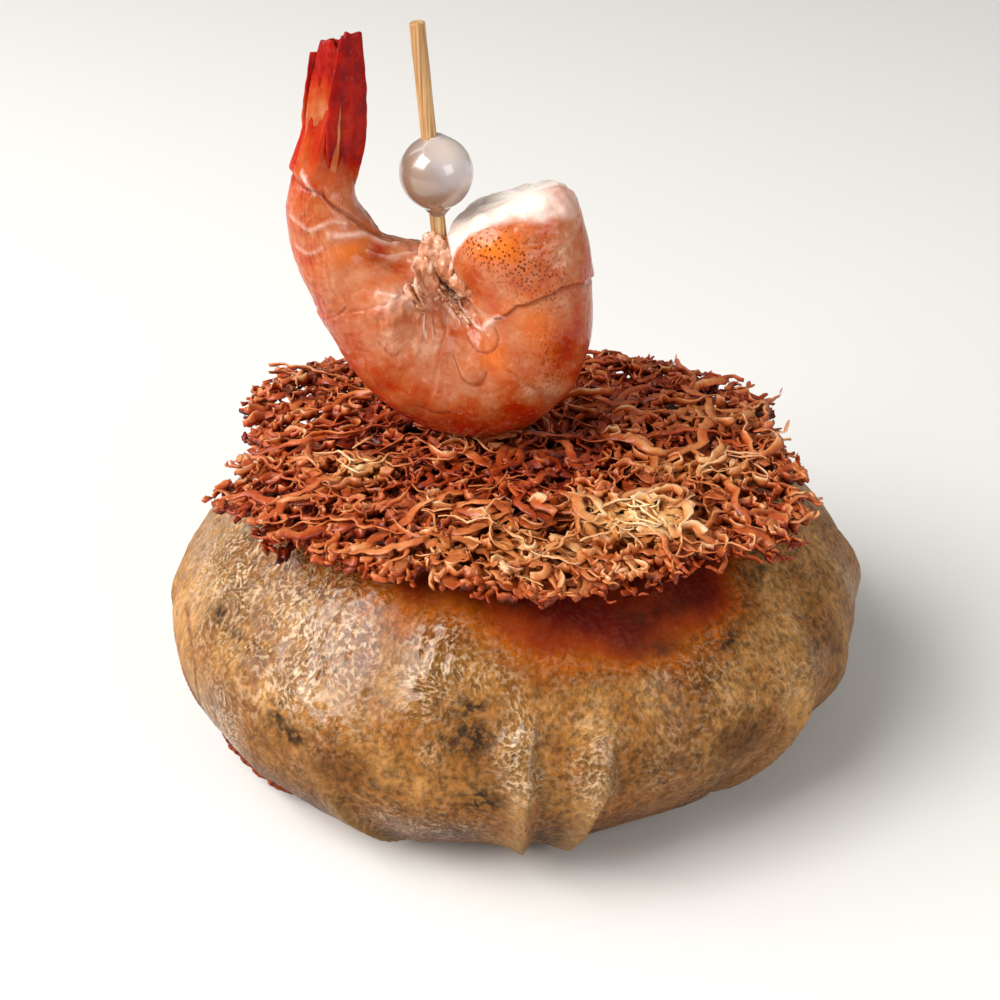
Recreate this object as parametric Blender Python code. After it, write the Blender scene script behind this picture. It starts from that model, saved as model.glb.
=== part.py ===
"""A seafood pastilla: a round packet of thin pleated pastry, a lacy fried crisp on top, and a curled
prawn held upright by a bamboo pick with a pearl bead.

The origin is the centre of the flat base, +Z is up and -Y is the side with the open curl in view.
Sizes below are in millimetres and every mesh is written in metres.
"""

import math
import random

import bmesh
import bpy
from mathutils import Vector
from mathutils.bvhtree import BVHTree

MM = 0.001
GAP = 0.3  # left between pieces that touch
SHARP_ANGLE = 40  # degrees between faces from which an edge is shaded sharp

# The pastry packet: its half outline from the base's edge to the top, as radius and height
PROFILE = [(36.6, 0.0), (44.4, 4.6), (49.7, 10.9), (52.0, 17.6), (51.0, 23.8), (46.1, 30.0),
           (40.4, 35.6), (34.0, 39.8), (22.0, 42.4), (8.0, 43.0)]
PROFILE_STEPS = 2
ROUND_STEPS = 96
# Where a sheet's edge was folded over: angle, height it starts at, depth, width in degrees
SHOWN_FOLDS = [(-160, 34, 2.2, 17), (-138, 26, 1.4, 12), (-120, 28, 2.0, 13), (-102, 22, 1.2, 9),
               (-88, 32, 2.5, 11), (-77, 29, 2.2, 10), (-58, 24, 1.4, 11), (-40, 32, 2.0, 11),
               (-22, 29, 1.8, 12)]
BACK_FOLDS = 9
BACK_TOP, BACK_DEPTH, BACK_WIDTH = (25, 34), (1.4, 2.3), (10, 16)  # lowest and highest of each
FOLD_EDGE = 3.4  # degrees over which a fold drops to the sheet below
FOLD_FADE = 12  # height over which a fold rises out of the smooth shoulder
UNEVEN = [(2, 0.5, 0.7), (3, 0.4, 2.1), (5, 0.3, 0.0)]  # lobes round the packet: count, size, turn
UNEVEN_SHRINK = 0.9
FLAT_SIDES = [(-52, 26, 8, 1.3), (-126, 16, 18, 0.7)]  # angle, half width, height, depth

# The lacy crisp: the outline as angle and radius, then its cells and strands
LACE_RIM = [(-167, 43.5), (-149, 41.0), (-125, 38.0), (-100, 39.5), (-80, 40.5), (-62, 39.5),
            (-37, 45.0), (-17, 44.5), (-2, 38.0), (16, 40.5), (40, 34.0), (62, 30.0), (90, 31.0),
            (120, 35.5), (146, 42.0), (166, 40.5), (179, 36.0)]
LACE_BASE = 43.0 + GAP
LACE_THICK = 2.3
LACE_CREST = 0.9
LACE_DROOP = 1.9  # how far its rim hangs below its middle
LACE_WAVES = [(3, 0.8, 0.5), (7, 0.5, 1.3)]  # waves round the rim: count, size, turn
CELL_PITCH = 8.4
CELL_JITTER = 0.17 * CELL_PITCH
CELL_REACH = 7  # rows and columns on each side of the middle
CELL_MARGIN = 0.46 * CELL_PITCH  # from a rim cell's middle to the outline
HOLE_SHARE = (0.42, 0.72)  # of its cell, smallest and largest
CURLS, CURL_SPAN, CURL_LIFT, CURL_LEAN = 24, (5, 13), (1.8, 3.6), 2
CURL_RADIUS, CURL_TAPER = (0.9, 1.3), (1, 0.9, 0.85, 0.9, 1)
CURL_SINK = 1.7  # its feet's height above the lace's underside
TIPS, TIP_LENGTH, TIP_LIFT, TIP_TURN = 28, (2.6, 5.2), (-0.4, 2.2), 0.5
TIP_RADII, TIP_SINK = (1.2, 1.3, 1.1, 0.8), 1.5
STRAND_SIDES = 5
FOOT_CLEAR = 3.0  # from a curl's foot to the prawn

# The curled prawn, seen from the side: inner edge x and z, outer edge x and z, half width
PRAWN_Y = -2.0
PRAWN_STATIONS = [
    (-19.2, 104.0, -22.0, 104.2, 1.1),
    (-18.2, 98.4, -24.8, 98.8, 1.9),
    (-18.5, 92.8, -26.4, 93.2, 2.6),
    (-20.3, 86.6, -28.4, 86.8, 3.3),
    (-20.0, 82.2, -29.6, 81.4, 4.7),
    (-17.2, 77.2, -28.9, 74.2, 5.9),
    (-13.9, 75.9, -26.9, 68.4, 7.0),
    (-10.8, 74.9, -24.6, 63.3, 8.0),
    (-9.5, 72.5, -21.2, 56.8, 8.6),
    (-8.6, 70.2, -15.8, 51.2, 9.0),
    (-7.6, 68.7, -9.0, 47.8, 9.2),
    (-6.2, 68.1, -2.9, 47.0, 9.3),
    (-5.2, 68.6, 3.6, 49.2, 9.3),
    (-4.9, 69.8, 9.2, 54.8, 9.2),
    (-5.3, 71.4, 11.5, 61.6, 9.0),
    (-6.3, 73.4, 11.8, 68.6, 8.7),
    (-7.2, 75.8, 11.2, 74.8, 8.3),
    (-7.4, 77.8, 10.4, 79.2, 7.6),
    (-6.2, 79.6, 9.4, 82.2, 6.2),
    (-2.5, 81.5, 7.6, 84.2, 3.4),
]
PRAWN_STEPS = 2
PRAWN_SIDES = 16
SEGMENT_STATIONS = [5, 8, 11, 14, 17]  # stations at the edge of one of the body's segments
SEGMENT_DEPTH = 0.035  # share of the body's size
RAGGED_RINGS, RAGGED_SHARE = 3, 0.06  # the torn edge where the head was
# The tail fan's blades: foot x and z, tip x and z, y offset, half width, turn in degrees
TAIL_BLADES = [
    (-25.2, 82.0, -22.4, 105.2, -2.2, 2.7, -28),
    (-22.0, 83.0, -19.2, 105.6, -2.6, 2.8, 22),
    (-25.2, 82.0, -23.8, 102.6, 2.2, 2.7, 28),
    (-22.0, 83.0, -20.2, 103.2, 2.6, 2.8, -22),
]
BLADE_THICK = 0.75
BLADE_RINGS = 8
BLADE_SIDES = 8

# The pick and its bead
PICK_RADIUS = 1.05
PICK_TOP = (-11.0, 106.4)  # x and z
PICK_AT_PRAWN = (-9.0, 74.7)
PICK_TIP_Z = 22.0
PICK_POINT = 6.0  # length of its sharpened end
PICK_SIDES = 16
BEAD_RADIUS = 5.0
BEAD_Z = 86.1
BEAD_ASIDE = 0.5  # its hole is that far off its middle


def clear_scene():
    for obj in list(bpy.data.objects):
        bpy.data.objects.remove(obj, do_unlink=True)


def make_material(name, colour, roughness):
    material = bpy.data.materials.new(name)
    material.use_nodes = True
    shader = material.node_tree.nodes["Principled BSDF"]
    shader.inputs["Base Color"].default_value = (*colour, 1)
    shader.inputs["Roughness"].default_value = roughness
    return material


def make_object(name, points, faces, material=None):
    """An object from points in millimetres, with its faces turned outwards."""
    mesh = bpy.data.meshes.new(name)
    mesh.from_pydata([[value * MM for value in point] for point in points], [], faces)
    shape = bmesh.new()
    shape.from_mesh(mesh)
    bmesh.ops.recalc_face_normals(shape, faces=shape.faces)
    bmesh.ops.triangulate(shape, faces=shape.faces)
    shape.to_mesh(mesh)
    shape.free()
    if material:
        mesh.materials.append(material)
    obj = bpy.data.objects.new(name, mesh)
    bpy.context.scene.collection.objects.link(obj)
    return obj


def apply_modifiers(obj):
    graph = bpy.context.evaluated_depsgraph_get()
    mesh = bpy.data.meshes.new_from_object(obj.evaluated_get(graph))
    obj.modifiers.clear()
    obj.data = mesh


def fuse(target, pieces):
    """One Boolean union of the target with all the pieces, which are removed afterwards."""
    collection = bpy.data.collections.new(target.name + "_pieces")
    bpy.context.scene.collection.children.link(collection)
    for piece in pieces:
        bpy.context.scene.collection.objects.unlink(piece)
        collection.objects.link(piece)
    modifier = target.modifiers.new("fuse", "BOOLEAN")
    modifier.operation = "UNION"
    modifier.operand_type = "COLLECTION"
    modifier.collection = collection
    modifier.solver = "EXACT"
    apply_modifiers(target)
    for piece in pieces:
        bpy.data.objects.remove(piece, do_unlink=True)
    bpy.data.collections.remove(collection)


def cut(target, cutter):
    """Cuts the cutter, which is then removed, out of the target."""
    modifier = target.modifiers.new("cut", "BOOLEAN")
    modifier.operation = "DIFFERENCE"
    modifier.object = cutter
    modifier.solver = "EXACT"
    apply_modifiers(target)
    bpy.data.objects.remove(cutter, do_unlink=True)


def drop_scraps(obj):
    """Keeps the largest connected body of the mesh."""
    shape = bmesh.new()
    shape.from_mesh(obj.data)
    left = set(shape.verts)
    bodies = []
    while left:
        body = set()
        edge_of_body = [left.pop()]
        while edge_of_body:
            vert = edge_of_body.pop()
            body.add(vert)
            for edge in vert.link_edges:
                other = edge.other_vert(vert)
                if other in left:
                    left.remove(other)
                    edge_of_body.append(other)
        bodies.append(body)
    bodies.sort(key=len)
    scraps = [vert for body in bodies[:-1] for vert in body]
    bmesh.ops.delete(shape, geom=scraps, context="VERTS")
    shape.to_mesh(obj.data)
    shape.free()


def smooth_through(stations, steps):
    """Rows along a smooth curve through the stations, which are equally long rows of numbers."""
    rows = []
    last = len(stations) - 1
    for span in range(last):
        near = [stations[min(max(span + k, 0), last)] for k in (-1, 0, 1, 2)]
        for step in range(steps):
            t = step / steps
            row = []
            for p, q, r, s in zip(*near):
                bend = (2 * p - 5 * q + 4 * r - s) * t + (3 * q - p - 3 * r + s) * t * t
                row.append(q + 0.5 * t * (r - p + bend))
            rows.append(row)
    rows.append(list(stations[-1]))
    return rows


def loft(name, rings, material=None):
    """A closed solid through rings that all have the same number of points."""
    sides = len(rings[0])
    points = [point for ring in rings for point in ring]
    faces = [list(range(sides)), [len(points) - sides + k for k in range(sides)]]
    for ring in range(len(rings) - 1):
        for side in range(sides):
            a = ring * sides + side
            b = ring * sides + (side + 1) % sides
            faces.append([a, b, b + sides, a + sides])
    return make_object(name, points, faces, material)


def tube(name, path, radii, sides):
    """A closed tube along a short path of points, with a radius at each."""
    path = [Vector(point) for point in path]
    rings = []
    for place, point in enumerate(path):
        along = path[min(place + 1, len(path) - 1)] - path[max(place - 1, 0)]
        across = along.cross(Vector((0.31, 0.17, 1))).normalized()
        up = across.cross(along).normalized()
        ring = []
        for side in range(sides):
            turn = 2 * math.pi * side / sides
            ring.append(point + radii[place] * (math.cos(turn) * across + math.sin(turn) * up))
        rings.append(ring)
    return loft(name, rings)


def angle_between(a, b):
    """The turn from b to a in degrees, between -180 and 180."""
    return (a - b + 180) % 360 - 180


def all_folds():
    draw = random.Random(7)
    folds = list(SHOWN_FOLDS)
    start, end = SHOWN_FOLDS[-1][0], SHOWN_FOLDS[0][0] + 360
    for number in range(BACK_FOLDS):
        angle = start + (end - start) * (number + 1) / (BACK_FOLDS + 1) + draw.uniform(-4, 4)
        top, depth = draw.uniform(*BACK_TOP), draw.uniform(*BACK_DEPTH)
        folds.append((angle, top, depth, draw.uniform(*BACK_WIDTH)))
    return folds


def fold_height(angle, z, folds):
    """How far the folded sheets stand off the packet at this angle and height."""
    stand = 0.0
    for at, top, depth, width in folds:
        fade = min(1.0, max(0.0, (top - z) / FOLD_FADE))
        turn = angle_between(angle, at)
        if 0 <= turn < FOLD_EDGE:
            stand += depth * fade * (1 - turn / FOLD_EDGE)
        elif -width < turn < 0:
            stand += depth * fade * (1 + turn / width) ** 1.6
    return stand


def packet_radius(angle, radius, z, folds):
    """The radius of the pastry at this angle, from the even profile's radius at height z."""
    turn = math.radians(angle)
    share = min(1.0, radius / PROFILE[0][0])
    uneven = sum(size * math.sin(count * turn + start) for count, size, start in UNEVEN)
    radius += share * (uneven - UNEVEN_SHRINK + fold_height(angle, z, folds))
    for at, half_width, height, depth in FLAT_SIDES:
        apart = angle_between(angle, at) / half_width
        radius -= depth * math.exp(-apart * apart - ((z - height) / 9) ** 2)
    return radius


def make_packet(material):
    folds = all_folds()
    rings = []
    for radius, z in smooth_through(PROFILE, PROFILE_STEPS):
        ring = []
        for step in range(ROUND_STEPS):
            angle = 360 * step / ROUND_STEPS - 180
            turn = math.radians(angle)
            real = packet_radius(angle, radius, z, folds)
            ring.append((real * math.cos(turn), real * math.sin(turn), z))
        rings.append(ring)
    return loft("pastilla", rings, material)


def lace_rim(angle):
    """The radius of the lace's ragged outline at this angle."""
    stations = LACE_RIM + [(LACE_RIM[0][0] + 360, LACE_RIM[0][1])]
    angle = LACE_RIM[0][0] + (angle - LACE_RIM[0][0]) % 360
    for (a, near), (b, far) in zip(stations, stations[1:]):
        if a <= angle <= b:
            blend = (1 - math.cos(math.pi * (angle - a) / (b - a))) / 2
            return near + (far - near) * blend
    return LACE_RIM[0][1]


def lace_under(x, y):
    """The height of the lace's underside, which droops and waves towards its rim."""
    away = math.hypot(x, y) / 40
    turn = math.atan2(y, x)
    wave = sum(size * math.sin(count * turn + start) for count, size, start in LACE_WAVES)
    return LACE_BASE + away**3 * (wave - LACE_DROOP)


def lace_cells():
    """The kept cells of a jittered honeycomb: for each, its six corner keys, and all the corners."""
    draw = random.Random(21)
    side = CELL_PITCH / math.sqrt(3)
    corners = {}
    cells = []
    for row in range(-CELL_REACH, CELL_REACH + 1):
        for column in range(-CELL_REACH, CELL_REACH + 1):
            x = CELL_PITCH * (column + 0.5 * (row % 2))
            y = 1.5 * side * row
            if math.hypot(x, y) > lace_rim(math.degrees(math.atan2(y, x))) - CELL_MARGIN:
                continue
            keys = []
            for corner in range(6):
                turn = math.radians(30 + 60 * corner)
                px, py = x + side * math.cos(turn), y + side * math.sin(turn)
                key = (round(px * 10), round(py * 10))
                near = [k for k in corners if abs(k[0] - key[0]) < 3 and abs(k[1] - key[1]) < 3]
                if near:
                    key = near[0]
                else:
                    px += draw.uniform(-CELL_JITTER, CELL_JITTER)
                    py += draw.uniform(-CELL_JITTER, CELL_JITTER)
                    corners[key] = (px, py)
                keys.append(key)
            cells.append((keys, draw.uniform(*HOLE_SHARE)))
    return cells, corners


def make_lace_plate(cells, corners, material):
    """The net itself: each cell is a hole with sloping strands round it."""
    order = {key: place for place, key in enumerate(corners)}
    points = []
    for x, y in corners.values():
        points.append((x, y, lace_under(x, y) + LACE_THICK + LACE_CREST))
        points.append((x, y, lace_under(x, y)))
    faces = []
    uses = {}
    for keys, hole in cells:
        spots = [corners[key] for key in keys]
        middle_x = sum(spot[0] for spot in spots) / 6
        middle_y = sum(spot[1] for spot in spots) / 6
        first = len(points)
        for x, y in spots:
            px, py = middle_x + (x - middle_x) * hole, middle_y + (y - middle_y) * hole
            points.append((px, py, lace_under(px, py) + LACE_THICK))
            points.append((px, py, lace_under(px, py) + GAP))
        for k in range(6):
            after = (k + 1) % 6
            outer, outer_after = 2 * order[keys[k]], 2 * order[keys[after]]
            inner, inner_after = first + 2 * k, first + 2 * after
            faces.append([outer, outer_after, inner_after, inner])
            faces.append([outer + 1, inner + 1, inner_after + 1, outer_after + 1])
            faces.append([inner, inner_after, inner_after + 1, inner + 1])
            uses.setdefault(frozenset((keys[k], keys[after])), []).append((outer, outer_after))
    rim = [pair[0] for pair in uses.values() if len(pair) == 1]
    for outer, outer_after in rim:
        faces.append([outer, outer + 1, outer_after + 1, outer_after])
    return make_object("lace_crisp", points, faces, material), {a for pair in rim for a in pair}


def make_curls(spots, draw):
    """Strands that leave the net at one crossing and come down at another."""
    curls = []
    while len(curls) < CURLS:
        start, end = draw.choice(spots), draw.choice(spots)
        if not CURL_SPAN[0] < math.dist(start, end) < CURL_SPAN[1]:
            continue
        lift, lean = draw.uniform(*CURL_LIFT), draw.uniform(-CURL_LEAN, CURL_LEAN)
        path = []
        for step in range(len(CURL_TAPER)):
            t = step / (len(CURL_TAPER) - 1)
            x = start[0] + (end[0] - start[0]) * t + lean * math.sin(math.pi * t)
            y = start[1] + (end[1] - start[1]) * t - lean * math.sin(math.pi * t)
            path.append((x, y, lace_under(x, y) + CURL_SINK + lift * math.sin(math.pi * t)))
        radius = draw.uniform(*CURL_RADIUS)
        curls.append(tube("curl", path, [radius * s for s in CURL_TAPER], STRAND_SIDES))
    return curls


def make_tips(spots, draw):
    """Stubby strands that splay outwards from the rim."""
    tips = []
    for x, y in draw.sample(spots, min(TIPS, len(spots))):
        turn = math.atan2(y, x) + draw.uniform(-TIP_TURN, TIP_TURN)
        length, lift = draw.uniform(*TIP_LENGTH), draw.uniform(*TIP_LIFT)
        path = []
        for t in (-0.35, 0.2, 0.65, 1):
            px, py = x + length * t * math.cos(turn), y + length * t * math.sin(turn)
            path.append((px, py, lace_under(x, y) + TIP_SINK + lift * max(t, 0) ** 2))
        tips.append(tube("tip", path, TIP_RADII, STRAND_SIDES))
    return tips


def make_lace(material, prawn):
    """The lace, cut round the prawn's foot."""
    draw = random.Random(5)
    cells, corners = lace_cells()
    lace, rim = make_lace_plate(cells, corners, material)
    places = list(corners.values())
    rim_spots = [places[index // 2] for index in sorted(rim)]
    prawn_shape = BVHTree.FromObject(prawn, bpy.context.evaluated_depsgraph_get())
    clear_spots = []
    for x, y in places:
        foot = Vector((x, y, LACE_BASE + LACE_THICK + LACE_CREST)) * MM
        if prawn_shape.find_nearest(foot)[3] > FOOT_CLEAR * MM:
            clear_spots.append((x, y))
    fuse(lace, make_curls(clear_spots, draw) + make_tips(rim_spots, draw))
    drop_scraps(lace)
    return lace


def prawn_rings(grow):
    """The body's rings: oval sections that fan round the inner edge of its curl."""
    draw = random.Random(3)
    rings = []
    rows = smooth_through(PRAWN_STATIONS, PRAWN_STEPS)
    for place, (inner_x, inner_z, outer_x, outer_z, width) in enumerate(rows):
        station = place / PRAWN_STEPS
        step = min([station - s for s in SEGMENT_STATIONS if 0 <= station - s < 3], default=3)
        swell = 1 - SEGMENT_DEPTH * math.exp(-step * 2)
        middle = Vector(((inner_x + outer_x) / 2, PRAWN_Y, (inner_z + outer_z) / 2))
        outward = Vector((outer_x - inner_x, 0, outer_z - inner_z)) / 2
        outward *= swell * (outward.length + grow) / outward.length
        side = Vector((0, width * swell + grow, 0))
        ragged = RAGGED_SHARE if place >= len(rows) - RAGGED_RINGS else 0.0
        ring = []
        for k in range(PRAWN_SIDES):
            turn = 2 * math.pi * k / PRAWN_SIDES
            size = 1 + draw.uniform(-ragged, ragged)
            ring.append(middle + size * (math.cos(turn) * outward + math.sin(turn) * side))
        rings.append(ring)
    return rings


def make_blade(foot_x, foot_z, tip_x, tip_z, aside, width, degrees):
    """One long pointed blade of the closed tail fan."""
    turn = math.radians(degrees)
    rings = []
    for ring_number in range(BLADE_RINGS + 1):
        t = ring_number / BLADE_RINGS
        wide = width * max(0.16, math.sin(math.pi * (0.14 + 0.82 * t)) ** 0.8)
        thick = BLADE_THICK * (1 - 0.5 * t)
        x, z = foot_x + (tip_x - foot_x) * t, foot_z + (tip_z - foot_z) * t
        y = PRAWN_Y + aside * (0.35 + 0.65 * math.sin(math.pi * min(1, 0.15 + t)))
        ring = []
        for k in range(BLADE_SIDES):
            round_turn = 2 * math.pi * k / BLADE_SIDES
            a, b = wide * math.cos(round_turn), thick * math.sin(round_turn)
            ring.append((x + a * math.cos(turn) - b * math.sin(turn),
                         y + a * math.sin(turn) + b * math.cos(turn), z))
        rings.append(ring)
    return loft("blade", rings)


def make_prawn(material):
    prawn = loft("prawn", prawn_rings(0), material)
    fuse(prawn, [make_blade(*blade) for blade in TAIL_BLADES])
    drop_scraps(prawn)
    return prawn


def pick_at(z):
    """The point of the pick's axis at this height."""
    slope = (PICK_TOP[0] - PICK_AT_PRAWN[0]) / (PICK_TOP[1] - PICK_AT_PRAWN[1])
    return Vector((PICK_AT_PRAWN[0] + slope * (z - PICK_AT_PRAWN[1]), PRAWN_Y, z))


def pick_rod(name, stops, material=None):
    """A round rod along the pick's axis, from a height and radius at each stop."""
    along = (pick_at(PICK_TOP[1]) - pick_at(0)).normalized()
    across = along.cross(Vector((0, 1, 0))).normalized()
    aside = across.cross(along)
    rings = []
    for z, radius in stops:
        ring = []
        for k in range(PICK_SIDES):
            turn = 2 * math.pi * k / PICK_SIDES
            ring.append(pick_at(z) + radius * (math.cos(turn) * across + math.sin(turn) * aside))
        rings.append(ring)
    return loft(name, rings, material)


def make_bead(material):
    mesh = bpy.data.meshes.new("bead")
    middle = (pick_at(BEAD_Z) + Vector((BEAD_ASIDE, 0, 0))) * MM
    shape = bmesh.new()
    bmesh.ops.create_uvsphere(shape, u_segments=26, v_segments=14, radius=BEAD_RADIUS * MM)
    bmesh.ops.translate(shape, verts=shape.verts, vec=middle)
    shape.to_mesh(mesh)
    shape.free()
    mesh.materials.append(material)
    bead = bpy.data.objects.new("bead", mesh)
    bpy.context.scene.collection.objects.link(bead)
    return bead


def main():
    clear_scene()
    crust = make_material("browned pastry", (0.50, 0.27, 0.08), 0.35)
    fried = make_material("fried lace", (0.30, 0.09, 0.03), 0.5)
    flesh = make_material("cooked prawn", (0.80, 0.30, 0.14), 0.3)
    bamboo = make_material("bamboo", (0.62, 0.44, 0.22), 0.6)
    pearl = make_material("pearl", (0.85, 0.83, 0.80), 0.15)

    packet = make_packet(crust)
    prawn = make_prawn(flesh)
    lace = make_lace(fried, prawn)
    bead = make_bead(pearl)
    pick = pick_rod("pick", [(PICK_TIP_Z, 0.15), (PICK_TIP_Z + PICK_POINT, PICK_RADIUS),
                             (PICK_TOP[1], PICK_RADIUS)], bamboo)

    cut(lace, loft("foot_cutter", prawn_rings(GAP)))
    bore = PICK_RADIUS + GAP
    bore_stops = [(PICK_TIP_Z - GAP, bore), (PICK_TOP[1] + 5, bore)]
    for piece in (packet, lace, prawn, bead):
        cut(piece, pick_rod("bore_cutter", bore_stops))
        drop_scraps(piece)
    for piece in (packet, lace, prawn, pick, bead):
        piece.data.shade_smooth()
        piece.data.set_sharp_from_angle(angle=math.radians(SHARP_ANGLE))


main()
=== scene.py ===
import itertools
import math
import random

import bpy
import numpy as np
from mathutils import Matrix, Vector


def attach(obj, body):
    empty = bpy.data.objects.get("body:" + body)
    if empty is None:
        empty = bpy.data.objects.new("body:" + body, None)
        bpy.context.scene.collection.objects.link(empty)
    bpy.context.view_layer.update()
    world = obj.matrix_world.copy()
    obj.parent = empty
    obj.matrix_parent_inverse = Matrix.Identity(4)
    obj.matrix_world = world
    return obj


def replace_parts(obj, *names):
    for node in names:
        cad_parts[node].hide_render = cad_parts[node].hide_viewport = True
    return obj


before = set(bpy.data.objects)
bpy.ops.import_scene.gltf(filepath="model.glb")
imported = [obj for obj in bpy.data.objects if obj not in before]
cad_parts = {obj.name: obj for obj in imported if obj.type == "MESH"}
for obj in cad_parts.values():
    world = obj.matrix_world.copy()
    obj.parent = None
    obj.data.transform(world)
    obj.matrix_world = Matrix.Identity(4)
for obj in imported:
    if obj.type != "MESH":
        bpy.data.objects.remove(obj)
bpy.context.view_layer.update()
mm = 0.001


# Small tools

def linear(hexText):  # sRGB hex to the linear colour that a shader wants
    channels = [int(hexText[i:i + 2], 16) / 255 for i in (1, 3, 5)]
    turned = [c / 12.92 if c <= 0.04045 else ((c + 0.055) / 1.055) ** 2.4 for c in channels]
    return (*turned, 1.0)


def addNode(tree, kind, inputs=None, out=0, stops=(), **settings):
    # a node with its settings and links; stops are the colours or greys of a ramp
    node = tree.nodes.new("ShaderNode" + kind)
    for name, value in settings.items():
        setattr(node, name, value)
    for socket, value in (inputs or {}).items():
        if isinstance(value, bpy.types.NodeSocket):
            tree.links.new(value, node.inputs[socket])
        else:
            node.inputs[socket].default_value = linear(value) if isinstance(value, str) else value
    for number, (place, colour) in enumerate(stops):
        elements = node.color_ramp.elements
        element = elements[number] if number < len(elements) else elements.new(1.0)
        element.position = place
        element.color = linear(colour) if isinstance(colour, str) else (colour, colour, colour, 1)
    return node.outputs[out] if node.outputs else node


def newMaterial(name):
    material = bpy.data.materials.new(name)
    material.use_nodes = True
    material.node_tree.nodes.clear()
    return material, material.node_tree


def unit(vectors):
    return vectors / np.maximum(np.linalg.norm(vectors, axis=-1, keepdims=True), 1e-9)


def smoothNoise(points, size, seed):  # a soft random value from about -1 to 1, with lumps of that size
    rng = np.random.default_rng(seed)
    order = rng.permutation(256)
    slopes = unit(rng.normal(size=(256, 3)))
    shape = points.shape[:-1]
    scaled = points.reshape(-1, 3) / size
    cell = np.floor(scaled).astype(int)
    part = scaled - cell
    fade = part ** 3 * (part * (part * 6 - 15) + 10)
    total = np.zeros(len(scaled))
    for corner in itertools.product((0, 1), repeat=3):
        corner = np.array(corner)
        at = cell + corner
        index = order[(order[(order[at[:, 0] & 255] + at[:, 1]) & 255] + at[:, 2]) & 255]
        weight = np.prod(np.where(corner == 1, fade, 1 - fade), axis=1)
        total += weight * ((part - corner) * slopes[index]).sum(1)
    return 1.6 * total.reshape(shape)


def roughened(points, amount, size, seed):  # points pushed about by soft noise
    push = [smoothNoise(points, size, seed + axis) for axis in range(3)]
    return points + amount * np.stack(push, -1)


def ridged(points, size, seed):  # the same noise folded over, so that it makes sharp creases
    return 1 - 2 * np.abs(smoothNoise(points, size, seed))


def bell(offset, spread):  # 1 in the middle, fading on both sides
    return np.exp(-(offset / spread) ** 2)


def smoothStep(values, low, high):
    t = np.clip((values - low) / (high - low), 0, 1)
    return t * t * (3 - 2 * t)


def smoothThrough(stations, steps):  # rows along a smooth curve through the stations
    stations = np.array(stations, float)
    last = len(stations) - 1
    rows = []
    for span in range(last):
        p, q, r, s = (stations[min(max(span + k, 0), last)] for k in (-1, 0, 1, 2))
        for t in np.arange(steps) / steps:
            bend = (2 * p - 5 * q + 4 * r - s) * t + (3 * q - p - 3 * r + s) * t * t
            rows.append(q + 0.5 * t * (r - p + bend))
    rows.append(stations[-1])
    return np.array(rows)


def offLine(place, stations, steps):  # how far each place is from the smooth line through the stations
    line = smoothThrough(stations, steps)
    nearest = np.full(place.shape[:-1], 99.0)
    for a, b in zip(line[:-1], line[1:]):
        along = np.clip(((place - a) @ (b - a)) / ((b - a) @ (b - a)), 0, 1)
        nearest = np.minimum(nearest, np.linalg.norm(place - a - along[..., None] * (b - a), axis=-1))
    return nearest


def angleBetween(a, b):  # the turn from b to a in degrees, between -180 and 180
    return (a - b + 180) % 360 - 180


def allRound(degrees, rows):  # the value at each angle, from rows of (angle, value) that close round
    angles, values = zip(*sorted(rows))
    angles = [angles[-1] - 360, *angles, angles[0] + 360]
    return np.interp(degrees, angles, [values[-1], *values, values[0]])


def spots(across, up, rows, around=True):  # soft blobs: the strongest at each point
    found = np.zeros(np.broadcast(across, up).shape)
    for at, z, wide, tall, strength in rows:
        turn = angleBetween(across, at) if around else across - at
        found = np.maximum(found, strength * np.exp(-(turn / wide) ** 2 - ((up - z) / tall) ** 2))
    return found


def gridFaces(rows, columns):  # quads between rows of points, joined round at the end
    row = np.arange(rows - 1)[:, None] * columns
    column = np.arange(columns)[None]
    after = (column + 1) % columns
    quads = np.stack([row + column, row + after, row + columns + after, row + columns + column], -1)
    return quads.reshape(-1, 4)


def gridNormals(grid):  # of a grid of points that is closed round
    along = np.roll(grid, -1, 1) - np.roll(grid, 1, 1)
    return unit(np.cross(along, np.gradient(grid, axis=0)))


def makePiece(name, points, faces, material, slot, paints=None):  # points in mm, with values painted on
    mesh = bpy.data.meshes.new(name)
    mesh.from_pydata((np.asarray(points) * mm).tolist(), [], [list(map(int, face)) for face in faces])
    for key, values in (paints or {}).items():
        values = np.asarray(values, np.float32)
        if values.ndim == 2:
            mesh.attributes.new(key, "FLOAT_VECTOR", "POINT").data.foreach_set("vector", values.ravel())
        else:
            mesh.attributes.new(key, "FLOAT", "POINT").data.foreach_set("value", values)
    mesh.materials.append(material)
    mesh.shade_smooth()
    piece = bpy.data.objects.new(name, mesh)
    bpy.context.scene.collection.objects.link(piece)
    if slot:
        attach(piece, "root")
    return piece


def closedGrid(grid, paints=None):  # a grid closed round, with a point that shuts each end
    rows, columns = grid.shape[:2]
    count = rows * columns
    points = np.concatenate([grid.reshape(-1, 3), grid[:1].mean(1), grid[-1:].mean(1)])
    faces = gridFaces(rows, columns).tolist()
    for column in range(columns):
        after = (column + 1) % columns
        faces.append([after, column, count])
        faces.append([count - columns + column, count - columns + after, count + 1])
    ends = {}
    for key, values in (paints or {}).items():
        flat = values.reshape(count, *values.shape[2:])
        ends[key] = np.concatenate([flat, flat[:1], flat[-1:]])
    return points, faces, ends


def joined(grids):  # several closed grids as one mesh
    points, faces, count = [], [], 0
    for grid in grids:
        more, quads, _ = closedGrid(grid)
        points.append(more)
        faces.extend([index + count for index in face] for face in quads)
        count += len(more)
    return np.concatenate(points), faces


# Camera, light and floor

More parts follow.
